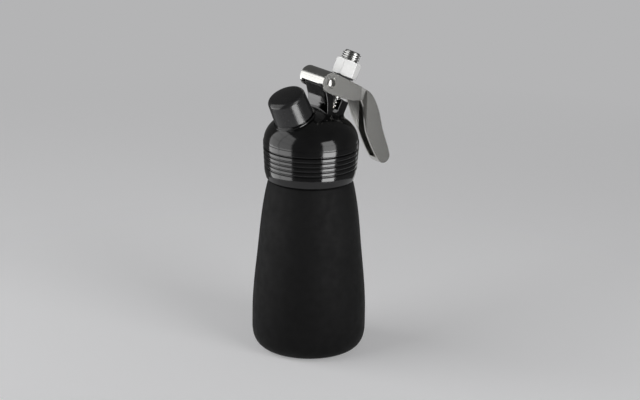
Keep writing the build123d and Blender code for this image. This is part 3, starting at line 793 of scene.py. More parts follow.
    def mill(self, distance: float, direction: Vector) -> None:
        """Take off all that stands past a plane and close the flat.

        Args:
            distance: of the plane from the origin.
            direction: outwards.
        """
        cut = bmesh.ops.bisect_plane(
            self.mesh, geom=self.mesh.verts[:] + self.mesh.edges[:] + self.mesh.faces[:], dist=WELD,
            plane_co=direction * distance, plane_no=direction, clear_outer=True,
        )["geom_cut"]
        edges = [e for e in cut if isinstance(e, BMEdge)]
        bmesh.ops.holes_fill(self.mesh, edges=edges, sides=0)

    def seat(self, matrix: Matrix) -> "Workpiece":
        """Place the workpiece."""
        bmesh.ops.transform(self.mesh, matrix=matrix, verts=self.mesh.verts)
        return self

    def pour(self, name: str) -> bpy.types.Mesh:
        """Turn the workpiece into a mesh, which uses it up.

        Args:
            name: the mesh's name.

        Returns:
            The mesh.
        """
        mesh = bpy.data.meshes.new(name)
        self.mesh.to_mesh(mesh)
        self.mesh.free()
        return mesh

    def join(self, *others: "Workpiece") -> "Workpiece":
        """Take in other workpieces.

        Args:
            others: what is taken in and used up.

        Returns:
            The workpiece.
        """
        for other in others:
            passing = other.pour("passing")
            self.mesh.from_mesh(passing)
            bpy.data.meshes.remove(passing)
        return self

    def combine(self, joining: Joining, other: "Workpiece") -> "Workpiece":
        """Cut another solid out of this one, or keep what both hold.

        Args:
            joining: which of the two.
            other: the other solid, used up.

        Returns:
            The workpiece.
        """
        holders = [stand("blank", work.pour("blank")) for work in (self, other)]
        cut = holders[0].modifiers.new("cut", "BOOLEAN")
        cut.operation = joining.value
        cut.solver = "EXACT"
        cut.object = holders[1]
        graph = bpy.context.evaluated_depsgraph_get()
        result = bpy.data.meshes.new_from_object(holders[0].evaluated_get(graph))
        self.mesh = bmesh.new()
        self.mesh.from_mesh(result)
        for mesh in (result, *[holder.data for holder in holders]):
            bpy.data.meshes.remove(mesh)
        self.close(CUT_WELD)
        bmesh.ops.dissolve_limit(self.mesh, angle_limit=radians(FLAT), verts=self.mesh.verts,
                                 edges=self.mesh.edges, use_dissolve_boundaries=False)
        bmesh.ops.recalc_face_normals(self.mesh, faces=self.mesh.faces)
        return self

    def deliver(self, name: str, crease: float = 40.0) -> bpy.types.Object:
        """Make the finished object, in metres.

        Args:
            name: the object's name.
            crease: degrees from which an edge shows as a line.

        Returns:
            The object.
        """
        bmesh.ops.scale(self.mesh, vec=(MILLIMETRE,) * 3, verts=self.mesh.verts)
        mesh = self.pour(name)
        mesh.shade_smooth()
        mesh.set_sharp_from_angle(angle=radians(crease))
        made = stand(name, mesh)
        even = made.modifiers.new("even_light", "WEIGHTED_NORMAL")
        even.keep_sharp = True
        return made


def rod(radius: float, start: float, end: float) -> Workpiece:
    """A plain upright rod of a radius between two heights, to cut with."""
    outline = corners((0.0, start), (radius, start), (radius, end), (0.0, end))
    return Workpiece().turn(outline, steps=64)


@dataclass(frozen=True)
class Foot:
    """A column's foot: a rounded rectangle, which is a circle when both halves are the rounding."""

    half_x: float
    half_y: float
    rounding: float

    def outward(self, x: float, y: float) -> Vector:
        """Direction away from the column.

        Args:
            x: of a point of its side.
            y: of the same point.

        Returns:
            The direction, of length 1.
        """
        core_x, core_y = self.half_x - self.rounding, self.half_y - self.rounding
        inner = Vector((max(-core_x, min(core_x, x)), max(-core_y, min(core_y, y)), 0.0))
        return (Vector((x, y, 0.0)) - inner).normalized()

    def loop(self, mesh: BMesh) -> None:
        """Draw the foot's outline with points close together.

        Args:
            mesh: where it is drawn.
        """
        if self.half_x == self.rounding:
            bmesh.ops.create_circle(mesh, segments=120, radius=self.half_x)
            return
        points = [mesh.verts.new((x * self.half_x, y * self.half_y, 0.0))
                  for x, y in ((-1, -1), (1, -1), (1, 1), (-1, 1))]
        for pair in zip(points, points[1:] + points[:1]):
            mesh.edges.new(pair)
        round_off(mesh, Rounding.CORNERS, points, self.rounding, 6)
        long = [e for e in mesh.edges if e.calc_length() > 2 * self.rounding]
        bmesh.ops.subdivide_edges(mesh, edges=long, cuts=20)


def cast_fillet(foot: Foot, seat: Matrix, ground: BVHTree, reach: float,
                rings: int = 7) -> Workpiece:
    """The cast fillet that leads from a column's side onto the body under it.

    Args:
        foot: the column's outline.
        seat: places the outline on the column, with its axis away from the body.
        ground: the body, in millimetres.
        reach: how far the fillet climbs and spreads.
        rings: stretches between the column and the body.

    Returns:
        The fillet as a closed ring.
    """
    work = Workpiece()
    mesh = work.mesh
    foot.loop(mesh)
    mark = mesh.verts.layers.int.new("place")
    up = (seat.to_3x3() @ Vector((0, 0, 1))).normalized()
    handles: list[tuple[Vector, ...]] = []
    for vert in mesh.verts:
        vert[mark] = len(handles)
        outward = (seat.to_3x3() @ foot.outward(vert.co.x, vert.co.y)).normalized()
        hit, *_ = ground.ray_cast(seat @ vert.co, -up)
        toe, *_ = ground.find_nearest(hit + outward * reach)
        handles.append((hit + up * reach, hit + up * reach * 0.35, hit.lerp(toe, 0.35), toe,
                        hit - up * reach * 0.4))
    loops = [mesh.edges[:]]
    for vert in mesh.verts:
        vert.co = handles[vert[mark]][0]
    for ring in range(1, rings + 2):
        grown = bmesh.ops.extrude_edge_only(mesh, edges=loops[-1])["geom"]
        loops.append([e for e in grown if isinstance(e, BMEdge)
                      and all(v in grown for v in e.verts)])
        for vert in (v for v in grown if isinstance(v, BMVert)):
            column, high, low, toe, buried = handles[vert[mark]]
            along = interpolate_bezier(column, high, low, toe, rings + 1)
            vert.co = along[ring] if ring <= rings else buried
    bmesh.ops.bridge_loops(mesh, edges=loops[0] + loops[-1])
    return work.close()


class SubAssembly:
    """Pieces that are made and dressed together."""

    body: str = ""

    def add(self, work: Workpiece, name: str, finish: Finish, slot: str,
            replaces: Sequence[str] = (), crease: float = 40.0) -> bpy.types.Object:
        """Deliver a piece and hang it on this sub-assembly's body.

        Args:
            work: the workpiece, seated.
            name: the piece's name.
            finish: its finish.
            slot: not used.
            replaces: nodes of the frame that it stands for.
            crease: degrees from which an edge shows as a line.

        Returns:
            The piece.
        """
        piece = work.deliver(name, crease)
        piece.data.materials.append(finish.material())
        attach(piece, self.body)
        if replaces:
            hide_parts(*replaces)
        log.info("%s: %d faces, %s", name, len(piece.data.polygons), finish.name)
        return piece

    def dress(self, finish: Finish, *nodes: str) -> None:
        """Give nodes of the frame a finish.

        Args:
            finish: the finish.
            nodes: the nodes' names.
        """
        for node in nodes:
            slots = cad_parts[node].data.materials
            slots.clear()
            slots.append(finish.material())
            log.info("%s: carried over, %s", node, finish.name)


# ------------------------------------------------------------------------ bottle
@dataclass
class Bottle(SubAssembly):
    """The steel bottle in its rubber sleeve."""

    body: str = "bottle"
    foot: float = 27.0
    widest: float = 37.99
    edge: float = 15.0          # height of the foot's rounding
    low: float = 24.0
    middle: Place = (34.675, 68.1)
    shoulder: Place = (28.5, 114.0)
    lip: float = 27.6
    top: float = 116.6
    sleeve_wall: float = 1.6
    bottle_wall: float = 1.5
    gap: float = 0.05           # between the bottle and its sleeve
    neck: float = 25.9
    neck_root: float = 25.15
    neck_wall: float = 2.6
    collar: float = 2.0         # heights from the shoulder and from the mouth to the thread
    lead: float = 1.9
    mouth: float = 136.8
    thread_pitch: float = 3.2

    def side(self, inset: float) -> list[Corner]:
        """The body's side from the foot to the shoulder.

        Args:
            inset: how far it is moved in.

        Returns:
            Its points.
        """
        foot = ((self.foot, inset), (self.foot + 7.5, inset + 0.3),
                (self.widest, 5.5 + inset * 0.6), (self.widest, self.edge))
        low = ((self.widest, self.low), (self.widest, 38.742), (36.125, 53.387), self.middle)
        high = (self.middle, (33.156, 83.507), (32.103, 98.989), self.shoulder)
        drawn = corners((0.0, inset), (self.foot - inset, inset))
        for stretch in (foot, low, high):
            moved = [(x - inset, z) for x, z in stretch]
            if stretch is low:
                drawn += corners(moved[0])
            drawn += bend(*moved, 24)
        return drawn

    def build(self) -> None:
        """Make the sleeve, the bottle and the thread of its neck."""
        inner = list(reversed(self.side(self.sleeve_wall)))
        rim = corners(
            (self.lip, self.top, 0.55), (self.neck + 0.7, self.top, 0.2),
            (self.neck + 0.5, self.top + 0.85, 0.25), (self.neck + 0.03, self.top + 0.85, 0.15),
        )
        sleeve = Workpiece().turn(self.side(0.0) + rim + inner)
        self.add(sleeve, "bottle_sleeve_silicone", SLEEVE_RUBBER, "sleeve_rubber",
                 ["bottle_sleeve"])

        outside = self.side(self.sleeve_wall + self.gap)
        hollow = list(reversed(self.side(self.sleeve_wall + self.bottle_wall)))
        bore, crest = self.neck - self.neck_wall, self.neck - self.gap
        neck = corners(
            (crest, self.top, 0.4), (crest, self.top + self.collar, 0.3),
            (self.neck_root, self.top + self.collar + 0.6, 0.2),
            (self.neck_root, self.mouth - self.lead - 0.5, 0.2),
            (crest, self.mouth - self.lead, 0.2), (crest, self.mouth, 0.7),
            (bore, self.mouth, 0.9), (bore, self.top - 1.0, 1.5),
        )
        bottle = Workpiece().turn(outside + neck + hollow)
        ridge = Workpiece().thread(
            self.neck_root, crest, self.thread_pitch, self.top + 3.6, self.mouth - 3.2, steps=120
        )
        self.add(bottle.join(ridge), "bottle_with_neck_thread", BOTTLE_STEEL, "bottle_metal",
                 ["bottle"])


# -------------------------------------------------------------------------- head
@dataclass
class Head(SubAssembly):
    """The enamelled casting: skirt, dome, valve tower, pivot lug and the charger port's boss."""

    body: str = "head"
    foot: float = 29.3
    low: Place = (30.5, 4.3)
    top: Place = (31.6, 21.6)
    band: float = 25.2
    dome: float = 31.2
    rise: float = 20.2
    seat: float = 21.0          # where the gasket lies
    ceiling: Place = (14.5, 32.0)
    vault: Place = (19.5, 27.0)
    bore: float = 26.2
    mouth: float = 0.35         # chamfer of the bore's mouth
    bore_root: float = 26.95
    root_zone: Place = (2.8, 18.4)      # heights between which the bore is as wide as its root
    root_chamfer: float = 0.6
    thread_ends: Place = (3.4, 17.6)
    thread_pitch: float = 3.2
    first_groove: float = 8.3
    groove_pitch: float = 3.13
    fine_grooves: int = 4
    fine: Place = (0.7, 1.3)    # depth and width of a fine groove
    main: Place = (1.2, 1.25)   # and of the one over them
    main_groove: float = 21.0
    tower: float = 9.5
    tower_foot: float = 20.0
    well: float = 7.4
    well_floor: float = 34.0
    sill: float = 35.6
    tower_top: float = 43.0
    window: float = 1.5         # the tall wall starts this far on the pivot's side
    eye: float = 5.2
    waist: Place = (-1.9, 3.1)  # the lug's sides under its eye
    waist_top: float = -12.0
    lug_foot: float = -28.0
    cheek: Place = (4.26, -2.983)
    lug_half: float = 10.9
    boss: float = 12.4
    boss_foot: float = 20.5
    boss_top: float = 29.9
    ring: Place = (13.8, 31.1)
    ring_neck: float = 13.3     # radius between the ring and the flange
    flange: Place = (14.4, 32.8)
    flange_foot: float = 31.6
    recess: Place = (13.6, 32.5)        # in the flange, under the cap
    recess_rim: float = 13.75
    fillet: float = 2.4
    boss_fillet: float = 1.6
    above: float = 50.0         # a station over the casting
    bush: float = 4.95
    bush_start: float = 10.0

    def rib(self, height: float, depth: float, width: float) -> list[Corner]:
        """Corners of a groove between two ribs, from below.

        Args:
            height: its middle, from the head's bottom edge.
            depth: how deep it is.
            width: how wide it is at its mouth.

        Returns:
            Its corners, rounded.
        """
        climb = (height - self.low[1]) / (self.top[1] - self.low[1])
        side = self.low[0] + (self.top[0] - self.low[0]) * climb
        half = width / 2
        return corners(
            (side - 0.02, height - half, 0.3), (side - depth, height - half / 3, 0.12),
            (side - depth, height + half / 3, 0.12), (side + 0.02, height + half, 0.3),
        )

    def shell(self) -> Workpiece:
        """Skirt and dome, with the hollow for the bottle's neck.

        Returns:
            The workpiece, seated.
        """
        root_foot, root_top = self.root_zone
        outline = corners((self.bore + self.mouth, 0.0), (self.foot, 0.0, 0.45), (*self.low, 1.4))
        for groove in range(self.fine_grooves):
            outline += self.rib(self.first_groove + groove * self.groove_pitch, *self.fine)
        outline += self.rib(self.main_groove, *self.main)
        outline += corners((self.top[0], self.band, 0.3), (self.dome, self.band, 0.1))
        outline += arc((0.0, self.band), (self.dome, self.rise), 2.0, 90.0, 40)
        outline += corners(
            (0.0, self.ceiling[1]), (*self.ceiling, 1.2), (*self.vault, 1.6),
            (self.vault[0], self.seat, 0.3), (self.bore, self.seat, 0.2),
            (self.bore, root_top + self.root_chamfer, 0.2), (self.bore_root, root_top, 0.2),
            (self.bore_root, root_foot, 0.2), (self.bore, root_foot - self.root_chamfer, 0.2),
            (self.bore, self.mouth),
        )
        return Workpiece().turn(outline, Closing.RING, steps=192).seat(ON_HEAD)

    def valve_tower(self) -> Workpiece:
        """The round tower, cut down on the pivot's side so that the spring shows.

        Returns:
            The workpiece, seated.
        """
        outline = corners(
            (0.0, self.tower_foot), (self.tower, self.tower_foot), (self.tower, self.sill),
            (self.well, self.sill), (self.well, self.well_floor, 0.4), (0.0, self.well_floor),
        )
        work = Workpiece().turn(outline, steps=120)
        rim = work.level(self.sill)
        around = {e for f in rim for e in f.edges} | {v for f in rim for v in f.verts}
        bmesh.ops.bisect_plane(work.mesh, geom=rim + list(around), dist=WELD,
                               plane_co=(-self.window, 0, 0), plane_no=(1, 0, 0))
        tall = [f for f in work.level(self.sill) if f.calc_center_median().x > -self.window]
        grown = bmesh.ops.extrude_face_region(work.mesh, geom=tall)["geom"]
        work.shift(grown, (0, 0, self.tower_top - self.sill))
        left = [f for f in tall if f.is_valid]
        bmesh.ops.delete(work.mesh, geom=left, context="FACES_KEEP_BOUNDARY")
        work.close()
        raised = [e for e in work.sharp(50.0) if min(v.co.z for v in e.verts) > self.sill - WELD]
        work.soften(raised, 0.45)
        return work.close().seat(ON_VALVE)

    def pivot_lug(self) -> Workpiece:
        """The lug that carries the lever's pivot.

        Returns:
            The workpiece, seated.
        """
        left, right = self.waist
        across, down = self.cheek
        outline = corners((left, self.lug_foot), (right, self.lug_foot),
                          (right, self.waist_top, 2.0), (across, down))
        outline += arc((0.0, 0.0), (self.eye, self.eye), -30.0, 210.0, 40)
        outline += corners((-across, down), (left, self.waist_top, 2.0))
        return Workpiece().prism(outline, self.lug_half, 0.6).seat(ON_PIVOT)

    def port_boss(self) -> Workpiece:
        """The charger port's boss with the ring and the flange under the cap.

        Returns:
            The workpiece, seated.
        """
        (ring, ring_top), (flange, flange_top) = self.ring, self.flange
        outline = corners(
            (0.0, self.boss_foot), (self.boss, self.boss_foot), (self.boss, self.boss_top, 0.3),
            (ring, self.boss_top, 0.35), (ring, ring_top, 0.35), (self.ring_neck, ring_top),
            (self.ring_neck, self.flange_foot), (flange, self.flange_foot, 0.35),
            (flange, flange_top, 0.35), (self.recess_rim, flange_top), self.recess,
            (0.0, self.recess[1]),
        )
        return Workpiece().turn(outline).seat(ON_PORT)

    def bored(self, work: Workpiece) -> Workpiece:
        """A seated part of the casting, opened for the valve's bush."""
        drill = rod(self.bush, self.bush_start, self.sill)
        return work.combine(Joining.LESS, drill.seat(ON_VALVE))

    def build(self) -> None:
        """Make the casting and its inner thread, and dress the gasket."""
        shell = self.shell()
        ground = BVHTree.FromBMesh(shell.mesh)
        above = Matrix.Translation((0, 0, self.above))
        middle, half = sum(self.waist) / 2, (self.waist[1] - self.waist[0]) / 2
        feet = [
            cast_fillet(Foot(*(self.tower,) * 3), ON_VALVE @ above, ground, self.fillet),
            cast_fillet(Foot(*(self.boss,) * 3), ON_PORT @ above, ground, self.boss_fillet),
            cast_fillet(Foot(half, self.lug_half, 0.6),
                        ON_PIVOT @ Matrix.Translation((middle, 0, 7.0)), ground, self.fillet),
        ]
        thread = Workpiece().thread(
            self.bore_root, self.bore + 0.02, self.thread_pitch, *self.thread_ends, steps=120
        )
        casting = self.bored(shell).join(
            self.bored(self.valve_tower()), self.bored(self.pivot_lug()), self.port_boss(), *feet,
            thread.seat(ON_HEAD),
        )
        self.add(casting, "head_casting", HEAD_ENAMEL, "head_enamel", ["head"], 50.0)
        self.dress(SEAL_RUBBER, "head_gasket")


# ------------------------------------------------------------------ charger port
@dataclass
class ChargerPort(SubAssembly):
    """What is screwed into the port: the nipple with its thread, seals, pin and check valve."""

    body: str = "head"
    root: float = 10.05
    crest: float = 10.7
    shank: float = 6.5
    shank_end: float = 16.7
    bottom: float = 33.8
    top: float = 43.8
    pitch: float = 1.75
    charger: Place = (9.25, 38.0)       # the charger's socket: radius and floor
    steps: tuple[Place, ...] = ((4.7, 31.4), (3.6, 24.9), (3.0, 21.9))      # and what it narrows to
    inlet: float = 1.6

    def build(self) -> None:
        """Make the nipple and dress what it holds."""
        outline = corners(
            (self.inlet, self.shank_end), (self.shank, self.shank_end, 0.4),
            (self.shank, self.bottom), (self.crest, self.bottom, 0.2),
            (self.crest, self.bottom + 1.0, 0.1), (self.root, self.bottom + 1.4),
            (self.root, self.top - 0.4, 0.3), (self.root - 0.4, self.top, 0.15),
            (self.charger[0], self.top, 0.2), self.charger,
        )
        floor, rounding = self.charger[1], 0.3
        for radius, step in self.steps:
            outline += corners((radius, floor, rounding), (radius, step))
            floor, rounding = step, 0.0
        outline += corners((self.inlet, floor))
        nipple = Workpiece().turn(outline, Closing.RING)
        ridge = Workpiece().thread(
            self.root, self.crest, self.pitch, self.bottom + 2.0, self.top - 1.3, steps=96
        )
        self.add(nipple.join(ridge).seat(ON_PORT), "charger_port_nipple", PORT_METAL,
                 "port_metal", ["charger_port"])
        self.dress(SEAL_RUBBER, "port_gasket", "pin_seal")
        self.dress(CHECK_RUBBER, "check_valve")
        self.dress(NEEDLE_STEEL, "pin_holder", "piercing_pin")
        self.dress(PORT_METAL, "port_nut")


@dataclass
class ChargerCap(SubAssembly):
    """The screw cap over the charger port."""

    body: str = "charger_cap"
    bottom: float = 33.1
    top: float = 50.4
    radius: float = 13.1
    end_radius: float = 12.6
    edge: float = 3.2
    crown: float = 0.9
    bore: float = 11.6
    roof: float = 48.2
    ridge: float = 11.0
    thread_end: float = 43.0
    pitch: float = 1.75

    def build(self) -> None:
        """Make the cap and its inner thread."""
        shoulder = self.top - self.edge
        flat = self.end_radius - self.edge
        outline = corners((self.radius, self.bottom, 0.4))
        outline += arc((flat, shoulder), (self.edge, self.edge), 0.0, 84.0, 10)
        outline += bend((flat + 0.25, self.top - 0.02), (flat * 0.7, self.top + self.crown * 0.62),
                        (flat * 0.35, self.top + self.crown), (0.0, self.top + self.crown), 18)
        outline += corners((0.0, self.roof), (self.bore, self.roof, 0.9),
                           (self.bore, self.bottom, 0.3))
        body = Workpiece().turn(outline, Closing.RING)
        thread = Workpiece().thread(
            self.bore, self.ridge, self.pitch, self.bottom + 1.6, self.thread_end, steps=96
        )
        self.add(body.join(thread).seat(ON_PORT), "charger_cap_moulding", CAP_PLASTIC,
                 "cap_plastic", ["charger_cap"])


# ------------------------------------------------------------------------- valve
@dataclass
class Valve(SubAssembly):
    """The sliding valve stem with its spring plate, seals and gasket."""

    body: str = "valve"
    thread_radius: float = 3.1
    plate: float = 8.3
    plate_bottom: float = 48.5
    plate_top: float = 50.5
    hub: float = 5.2
    hub_top: float = 57.2

    def build(self) -> None:
        """Make the spring plate and dress the rest of the stem."""
        outline = corners(
            (self.thread_radius, self.plate_bottom), (self.plate, self.plate_bottom, 0.35),
            (self.plate, self.plate_top, 0.55), (self.hub, self.plate_top, 0.3),
            (self.hub, self.hub_top, 0.35), (self.thread_radius, self.hub_top),
        )
        self.add(Workpiece().turn(outline, Closing.RING).seat(ON_VALVE), "spring_plate_turned",
                 STEM_STEEL, "stem_steel", ["spring_plate"])
        self.dress(STEM_STEEL, "valve_stem", "gasket_screw")
        self.dress(SEAL_RUBBER, "stem_o_ring_lower", "stem_o_ring_upper", "valve_gasket",
                   "adapter_seal")


@dataclass
class ValveSeat(SubAssembly):
    """What stays in the head under the valve: bush, nut, O-ring and the return spring."""

    body: str = "head"
    mean: float = 5.65
    wire: float = 0.55
    bottom: float = 36.47
    top: float = 48.43
    active: float = 3.6
    dead: float = 0.9
    closed_pitch: float = 2.05      # of the closed turns, in wire radii
    turn_steps: int = 48
    keep: float = 0.8

    def coil(self) -> Workpiece:
        """The wire wound with closed ends and open turns between.

        Returns:
            The workpiece.
        """
        work = Workpiece()
        bmesh.ops.create_circle(work.mesh, cap_ends=False, radius=self.wire, segments=16)
        work.seat(Matrix.Translation((self.mean, 0, self.bottom + self.wire))
                  @ Matrix.Rotation(pi / 2, 4, "X"))
        rise = self.top - self.bottom - 2 * self.wire
        closed = self.closed_pitch * self.wire * self.dead
        last: list[BMVert | BMEdge] = []
        ends = (self.dead, closed)
        for turns, climb in (ends, (self.active, rise - 2 * closed), ends):
            last = work.spin(round(turns * self.turn_steps), turns, climb, last)
        return work.plug()

    def build(self) -> None:
        """Make the spring and dress the bush, its nut and its O-ring."""
        spring = self.add(self.coil().seat(ON_VALVE), "return_spring_coil", SPRING_STEEL,
                          "spring_steel", ["return_spring"])
        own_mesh(spring)
        self.dress(BUSH_METAL, "valve_bush")
        self.dress(NUT_STEEL, "bush_nut")
        self.dress(SEAL_RUBBER, "bush_o_ring")


@dataclass
class NozzleAdapter(SubAssembly):
    """The hexagon on the stem and the threaded tip that a nozzle screws onto."""

    body: str = "valve"
    flats: float = 7.5
    corner: float = 8.5
    bottom: float = 58.2
    shoulder: float = 68.9
    top: float = 75.4
    root: float = 5.1
    crest: float = 6.25
    pitch: float = 1.5
    ridge: float = 0.72         # of a pitch
    bore: float = 3.6
    stem: float = 3.1
    stem_top: float = 66.0
    face: float = 7.76          # the end faces' radius inside their chamfers
    chamfer: float = 0.45

    def build(self) -> None:
        """Turn the blank, mill its six flats and wind its thread."""
        outline = corners(
            (self.stem, self.bottom), (self.face, self.bottom, 0.1),
            (self.corner, self.bottom + self.chamfer, 0.1),
            (self.corner, self.shoulder - self.chamfer, 0.1), (self.face, self.shoulder, 0.1),
            (self.bore, self.shoulder), (self.bore, self.stem_top), (self.stem, self.stem_top),
        )
        blank = Workpiece().turn(outline, Closing.RING)
        for flat in range(6):
            angle = radians(60 * flat)
            blank.mill(self.flats, Vector((cos(angle), sin(angle), 0)))
        blank.close()
        self.add(blank.seat(ON_VALVE), "nozzle_adapter_hexagon", ADAPTER_METAL, "adapter_metal",
                 ["nozzle_adapter"], 22.0)
        tip = Workpiece().turn(corners(
            (self.bore, self.shoulder - 1.0), (self.root, self.shoulder - 1.0),
            (self.root, self.top - 0.5, 0.1), (self.root - 0.45, self.top, 0.1),
            (self.bore + 0.35, self.top), (self.bore, self.top - 0.35),
        ), Closing.RING)
        # the core takes the darker nickel, which is painted shade between the thread's ridges
        self.add(tip.seat(ON_VALVE), "nozzle_adapter_tip", SHADED_CORE_METAL, "adapter_metal")
        ridge = Workpiece().thread(
            self.root, self.crest, self.pitch, self.shoulder + 0.75, self.top - 0.75, self.ridge, 72
        )
        self.add(ridge.seat(ON_VALVE), "nozzle_adapter_thread", TIP_METAL, "adapter_metal")


# ------------------------------------------------------------------------- lever
@dataclass
class Lever(SubAssembly):
    """The lever: one sheet formed into hood, fork, joggle and grip.

    Its places are counted from its pivot, forwards and up.
    """

    body: str = "lever"
    sheet: float = 1.5
    hood: float = 7.0
    slope: float = 29.0         # the fork's top edge falls at this angle
    hood_end: float = 180.0
    arm_end: float = 217.0      # where the arms' rounded ends stop, round the pivot
    fork_half: float = 12.7
    grip_half: float = 5.0
    joggle: Place = (24.6, 35.0)
    window: tuple[float, float, float] = (6.1, 24.5, 11.2)
    back: tuple[Place, ...] = (
        (26.5, -6.7), (38.7, -14.0), (43.6, -22.1), (49.0, -40.2), (55.1, -57.6),
    )
    tip: Place = (50.470, -58.894)
    tip_radius: float = 4.808
    tip_turn: Place = (15.61, -139.76)
    tip_heading: Place = (0.27, -0.96)
    front: tuple[Place, ...] = (
        (46.8, -62.0), (42.4, -55.2), (37.2, -44.9), (32.0, -31.3), (28.6, -19.5),
    )
    front_heading: Place = (-0.35, 0.94)
    below: tuple[Place, ...] = ((24.5, -14.6), (18.1, -14.0), (10.6, -11.9))
    boss: tuple[float, float, float] = (16.6, -5.235, 2.0)      # place and radius
    boss_end: float = 5.5
    hole: float = 2.35
    sink: float = 3.5
    sink_depth: float = 0.6
    grip_fold: float = 2.2
    fork_fold: float = 0.7
    rim: float = 0.5
    far: float = 100.0

    def back_line(self, inset: float, end: float) -> list[Corner]:
        """Back of the lever, from the hood's end over the fork and the grip to the tip.

        Args:
            inset: how far it is moved into the sheet.
            end: degrees round the pivot where it starts.

        Returns:
            Its points.
        """
        fall = radians(self.slope)
        start = 90.0 - self.slope
        drawn = arc((0.0, 0.0), (self.hood, self.hood), end, start, 36)
        drawn += flow(self.back, (cos(fall), -sin(fall)), self.tip_heading, 12, True)
        drawn += arc(self.tip, (self.tip_radius,) * 2, *self.tip_turn, 20)[1:]
        line = [Vector((c.radius, c.height)) for c in drawn]
        moved = []
        for place, point in enumerate(line):
            along = (line[min(place + 1, len(line) - 1)] - line[max(place - 1, 0)]).normalized()
            moved.append((point.x + along.y * inset, point.y - along.x * inset))
        return corners(*moved)

    def plan(self, inset: float) -> Workpiece:
        """What the lever fills as seen from above: wide fork, joggle, narrow grip.

        Args:
            inset: how far its sides are moved in.

        Returns:
            The workpiece.
        """
        wide, narrow = self.fork_half - inset, self.grip_half - inset
        start, end = self.joggle
        half = [(-self.far, wide), (start, wide), (end, narrow), (self.far, narrow)]
        outline = corners(*half, *[(x, -y) for x, y in reversed(half)])
        return Workpiece().prism(outline, self.far, 0.0).seat(Matrix.Rotation(pi / 2, 4, "X"))

    def fold(self, work: Workpiece, grip: float, fork: float, inset: float) -> None:
        """Round the folds between the back and the walls.

        Args:
            work: the outside or the inside of the sheet.
            grip: rounding along the joggle and the grip.
            fork: rounding along the hood and the fork.
            inset: how far this side stands in from the outside.
        """
        step = self.joggle[0]
        for low, high, rounding in ((step, self.far, grip), (-self.far, step, fork)):
            folds = []
            for edge in work.sharp(30.0):
                walls = [f for f in edge.link_faces if abs(f.normal.y) > 0.5]
                middle = (edge.verts[0].co + edge.verts[1].co) / 2
                if len(walls) != 1 or not low < middle.x < high:
                    continue
                web = next(f for f in edge.link_faces if f not in walls)
                on_tip = middle.x > self.front[0][0] + 0.1 and middle.z < self.back[-1][1] + inset
                if web.normal.z > -0.2 and middle.z > self.front[0][1] or on_tip:
                    folds.append(edge)
            if rounding > 0:
                work.soften(folds, rounding, 5)

    def outside(self) -> Workpiece:
        """The lever as if it were solid.

        Returns:
            The workpiece.
        """
        reach = self.tip_radius
        end = radians(self.tip_turn[1])
        heading = (sin(end) * reach, -cos(end) * reach)
        corner = radians(self.arm_end)
        below = (*self.below, (self.hood * cos(corner), self.hood * sin(corner)))
        outline = self.back_line(0.0, self.arm_end)
        outline += flow(self.front, heading, self.front_heading, 10, False)
        outline += flow(below, (-1.0, 0.03), (-0.85, 0.5), 10, True)[:-1]
        work = Workpiece().prism(outline, self.fork_half, 0.0)
        work.combine(Joining.COMMON, self.plan(0.0))
        self.fold(work, self.grip_fold, self.fork_fold, 0.0)
        return work

    def inside(self) -> Workpiece:
        """What is empty between its walls.

        Returns:
            The workpiece.
        """
        back = self.back_line(self.sheet, self.hood_end)
        tip, hood = back[-1], back[0]
        step = tip.height + self.sheet
        outline = back + corners((tip.radius, step), (0.0, step), (-self.far, hood.height))
        work = Workpiece().prism(outline, self.fork_half, 0.0)
        work.combine(Joining.COMMON, self.plan(self.sheet))
        self.fold(work, self.grip_fold - self.sheet, 0.0, self.sheet)
        return work

    def build(self) -> None:
        """Form the sheet, open it for the valve, and drill it for the pin."""
        start, end, half = self.window
        low = self.below[0][1]
        window = corners((start, low), (end, low), (end, self.far), (start, self.far))
        lying = Matrix.Rotation(pi / 2, 4, "X")
        depth = self.fork_half - self.sink_depth
        sinks = [rod(self.sink, depth, self.far).seat(way) for way in (lying.inverted(), lying)]
        work = self.outside()
        for cutter in (self.inside(), Workpiece().prism(window, half, 0.0),
                       rod(self.hole, -self.far, self.far).seat(lying), *sinks):
            work.combine(Joining.LESS, cutter)
        work.soften(work.sharp(35.0), self.rim, 3)
        work.close(RIM_WELD)
        across, down, radius = self.boss
        for side in (-1, 1):
            peg = corners((0.0, self.boss_end), (radius, self.boss_end, 0.3),
                          (radius, half + HIDDEN), (0.0, half + HIDDEN))
            seat = Matrix.Translation((across, 0, down)) @ Matrix.Rotation(side * pi / 2, 4, "X")
            work.join(Workpiece().turn(peg, steps=48).seat(seat))
        self.add(work.seat(ON_PIVOT), "lever_sheet", LEVER_STEEL, "lever_metal", ["lever"], 32.0)


@dataclass
class PivotPin(SubAssembly):
    """The pin with a domed head at each end."""

    body: str = "head"
    shank: float = 2.3
    head: float = 2.8
    seat: float = 12.15
    rim: float = 12.7
    end: float = 13.45

    def build(self) -> None:
        """Turn the pin and lay it across the head."""
        dome = corners((self.shank, self.seat), (self.head, self.seat, 0.1))
        dome += arc((0.0, self.rim), (self.head, self.end - self.rim), 0.0, 90.0, 12)
        other = [Corner(c.radius, -c.height, c.rounding) for c in reversed(dome)]
        work = Workpiece().turn(other + dome, steps=64)
        lying = ON_PIVOT @ Matrix.Rotation(pi / 2, 4, "X")
        self.add(work.seat(lying), "pivot_pin_domed", PIN_STEEL, "pin_steel", ["pivot_pin"])


# ------------------------------------------------------------------------ studio
@dataclass(frozen=True)
class Panel:
    """A soft light panel, seen from the object's middle."""

    name: str
    side: float         # degrees to the right of the camera, as seen from the object
    distance: float
    width: float
    low: float
    high: float
    level: float        # what a mirror shows of it, 1 being white
    rows: int = 1
    columns: int = 1
    under: float = 1.0      # how many times brighter its row under the table's height is


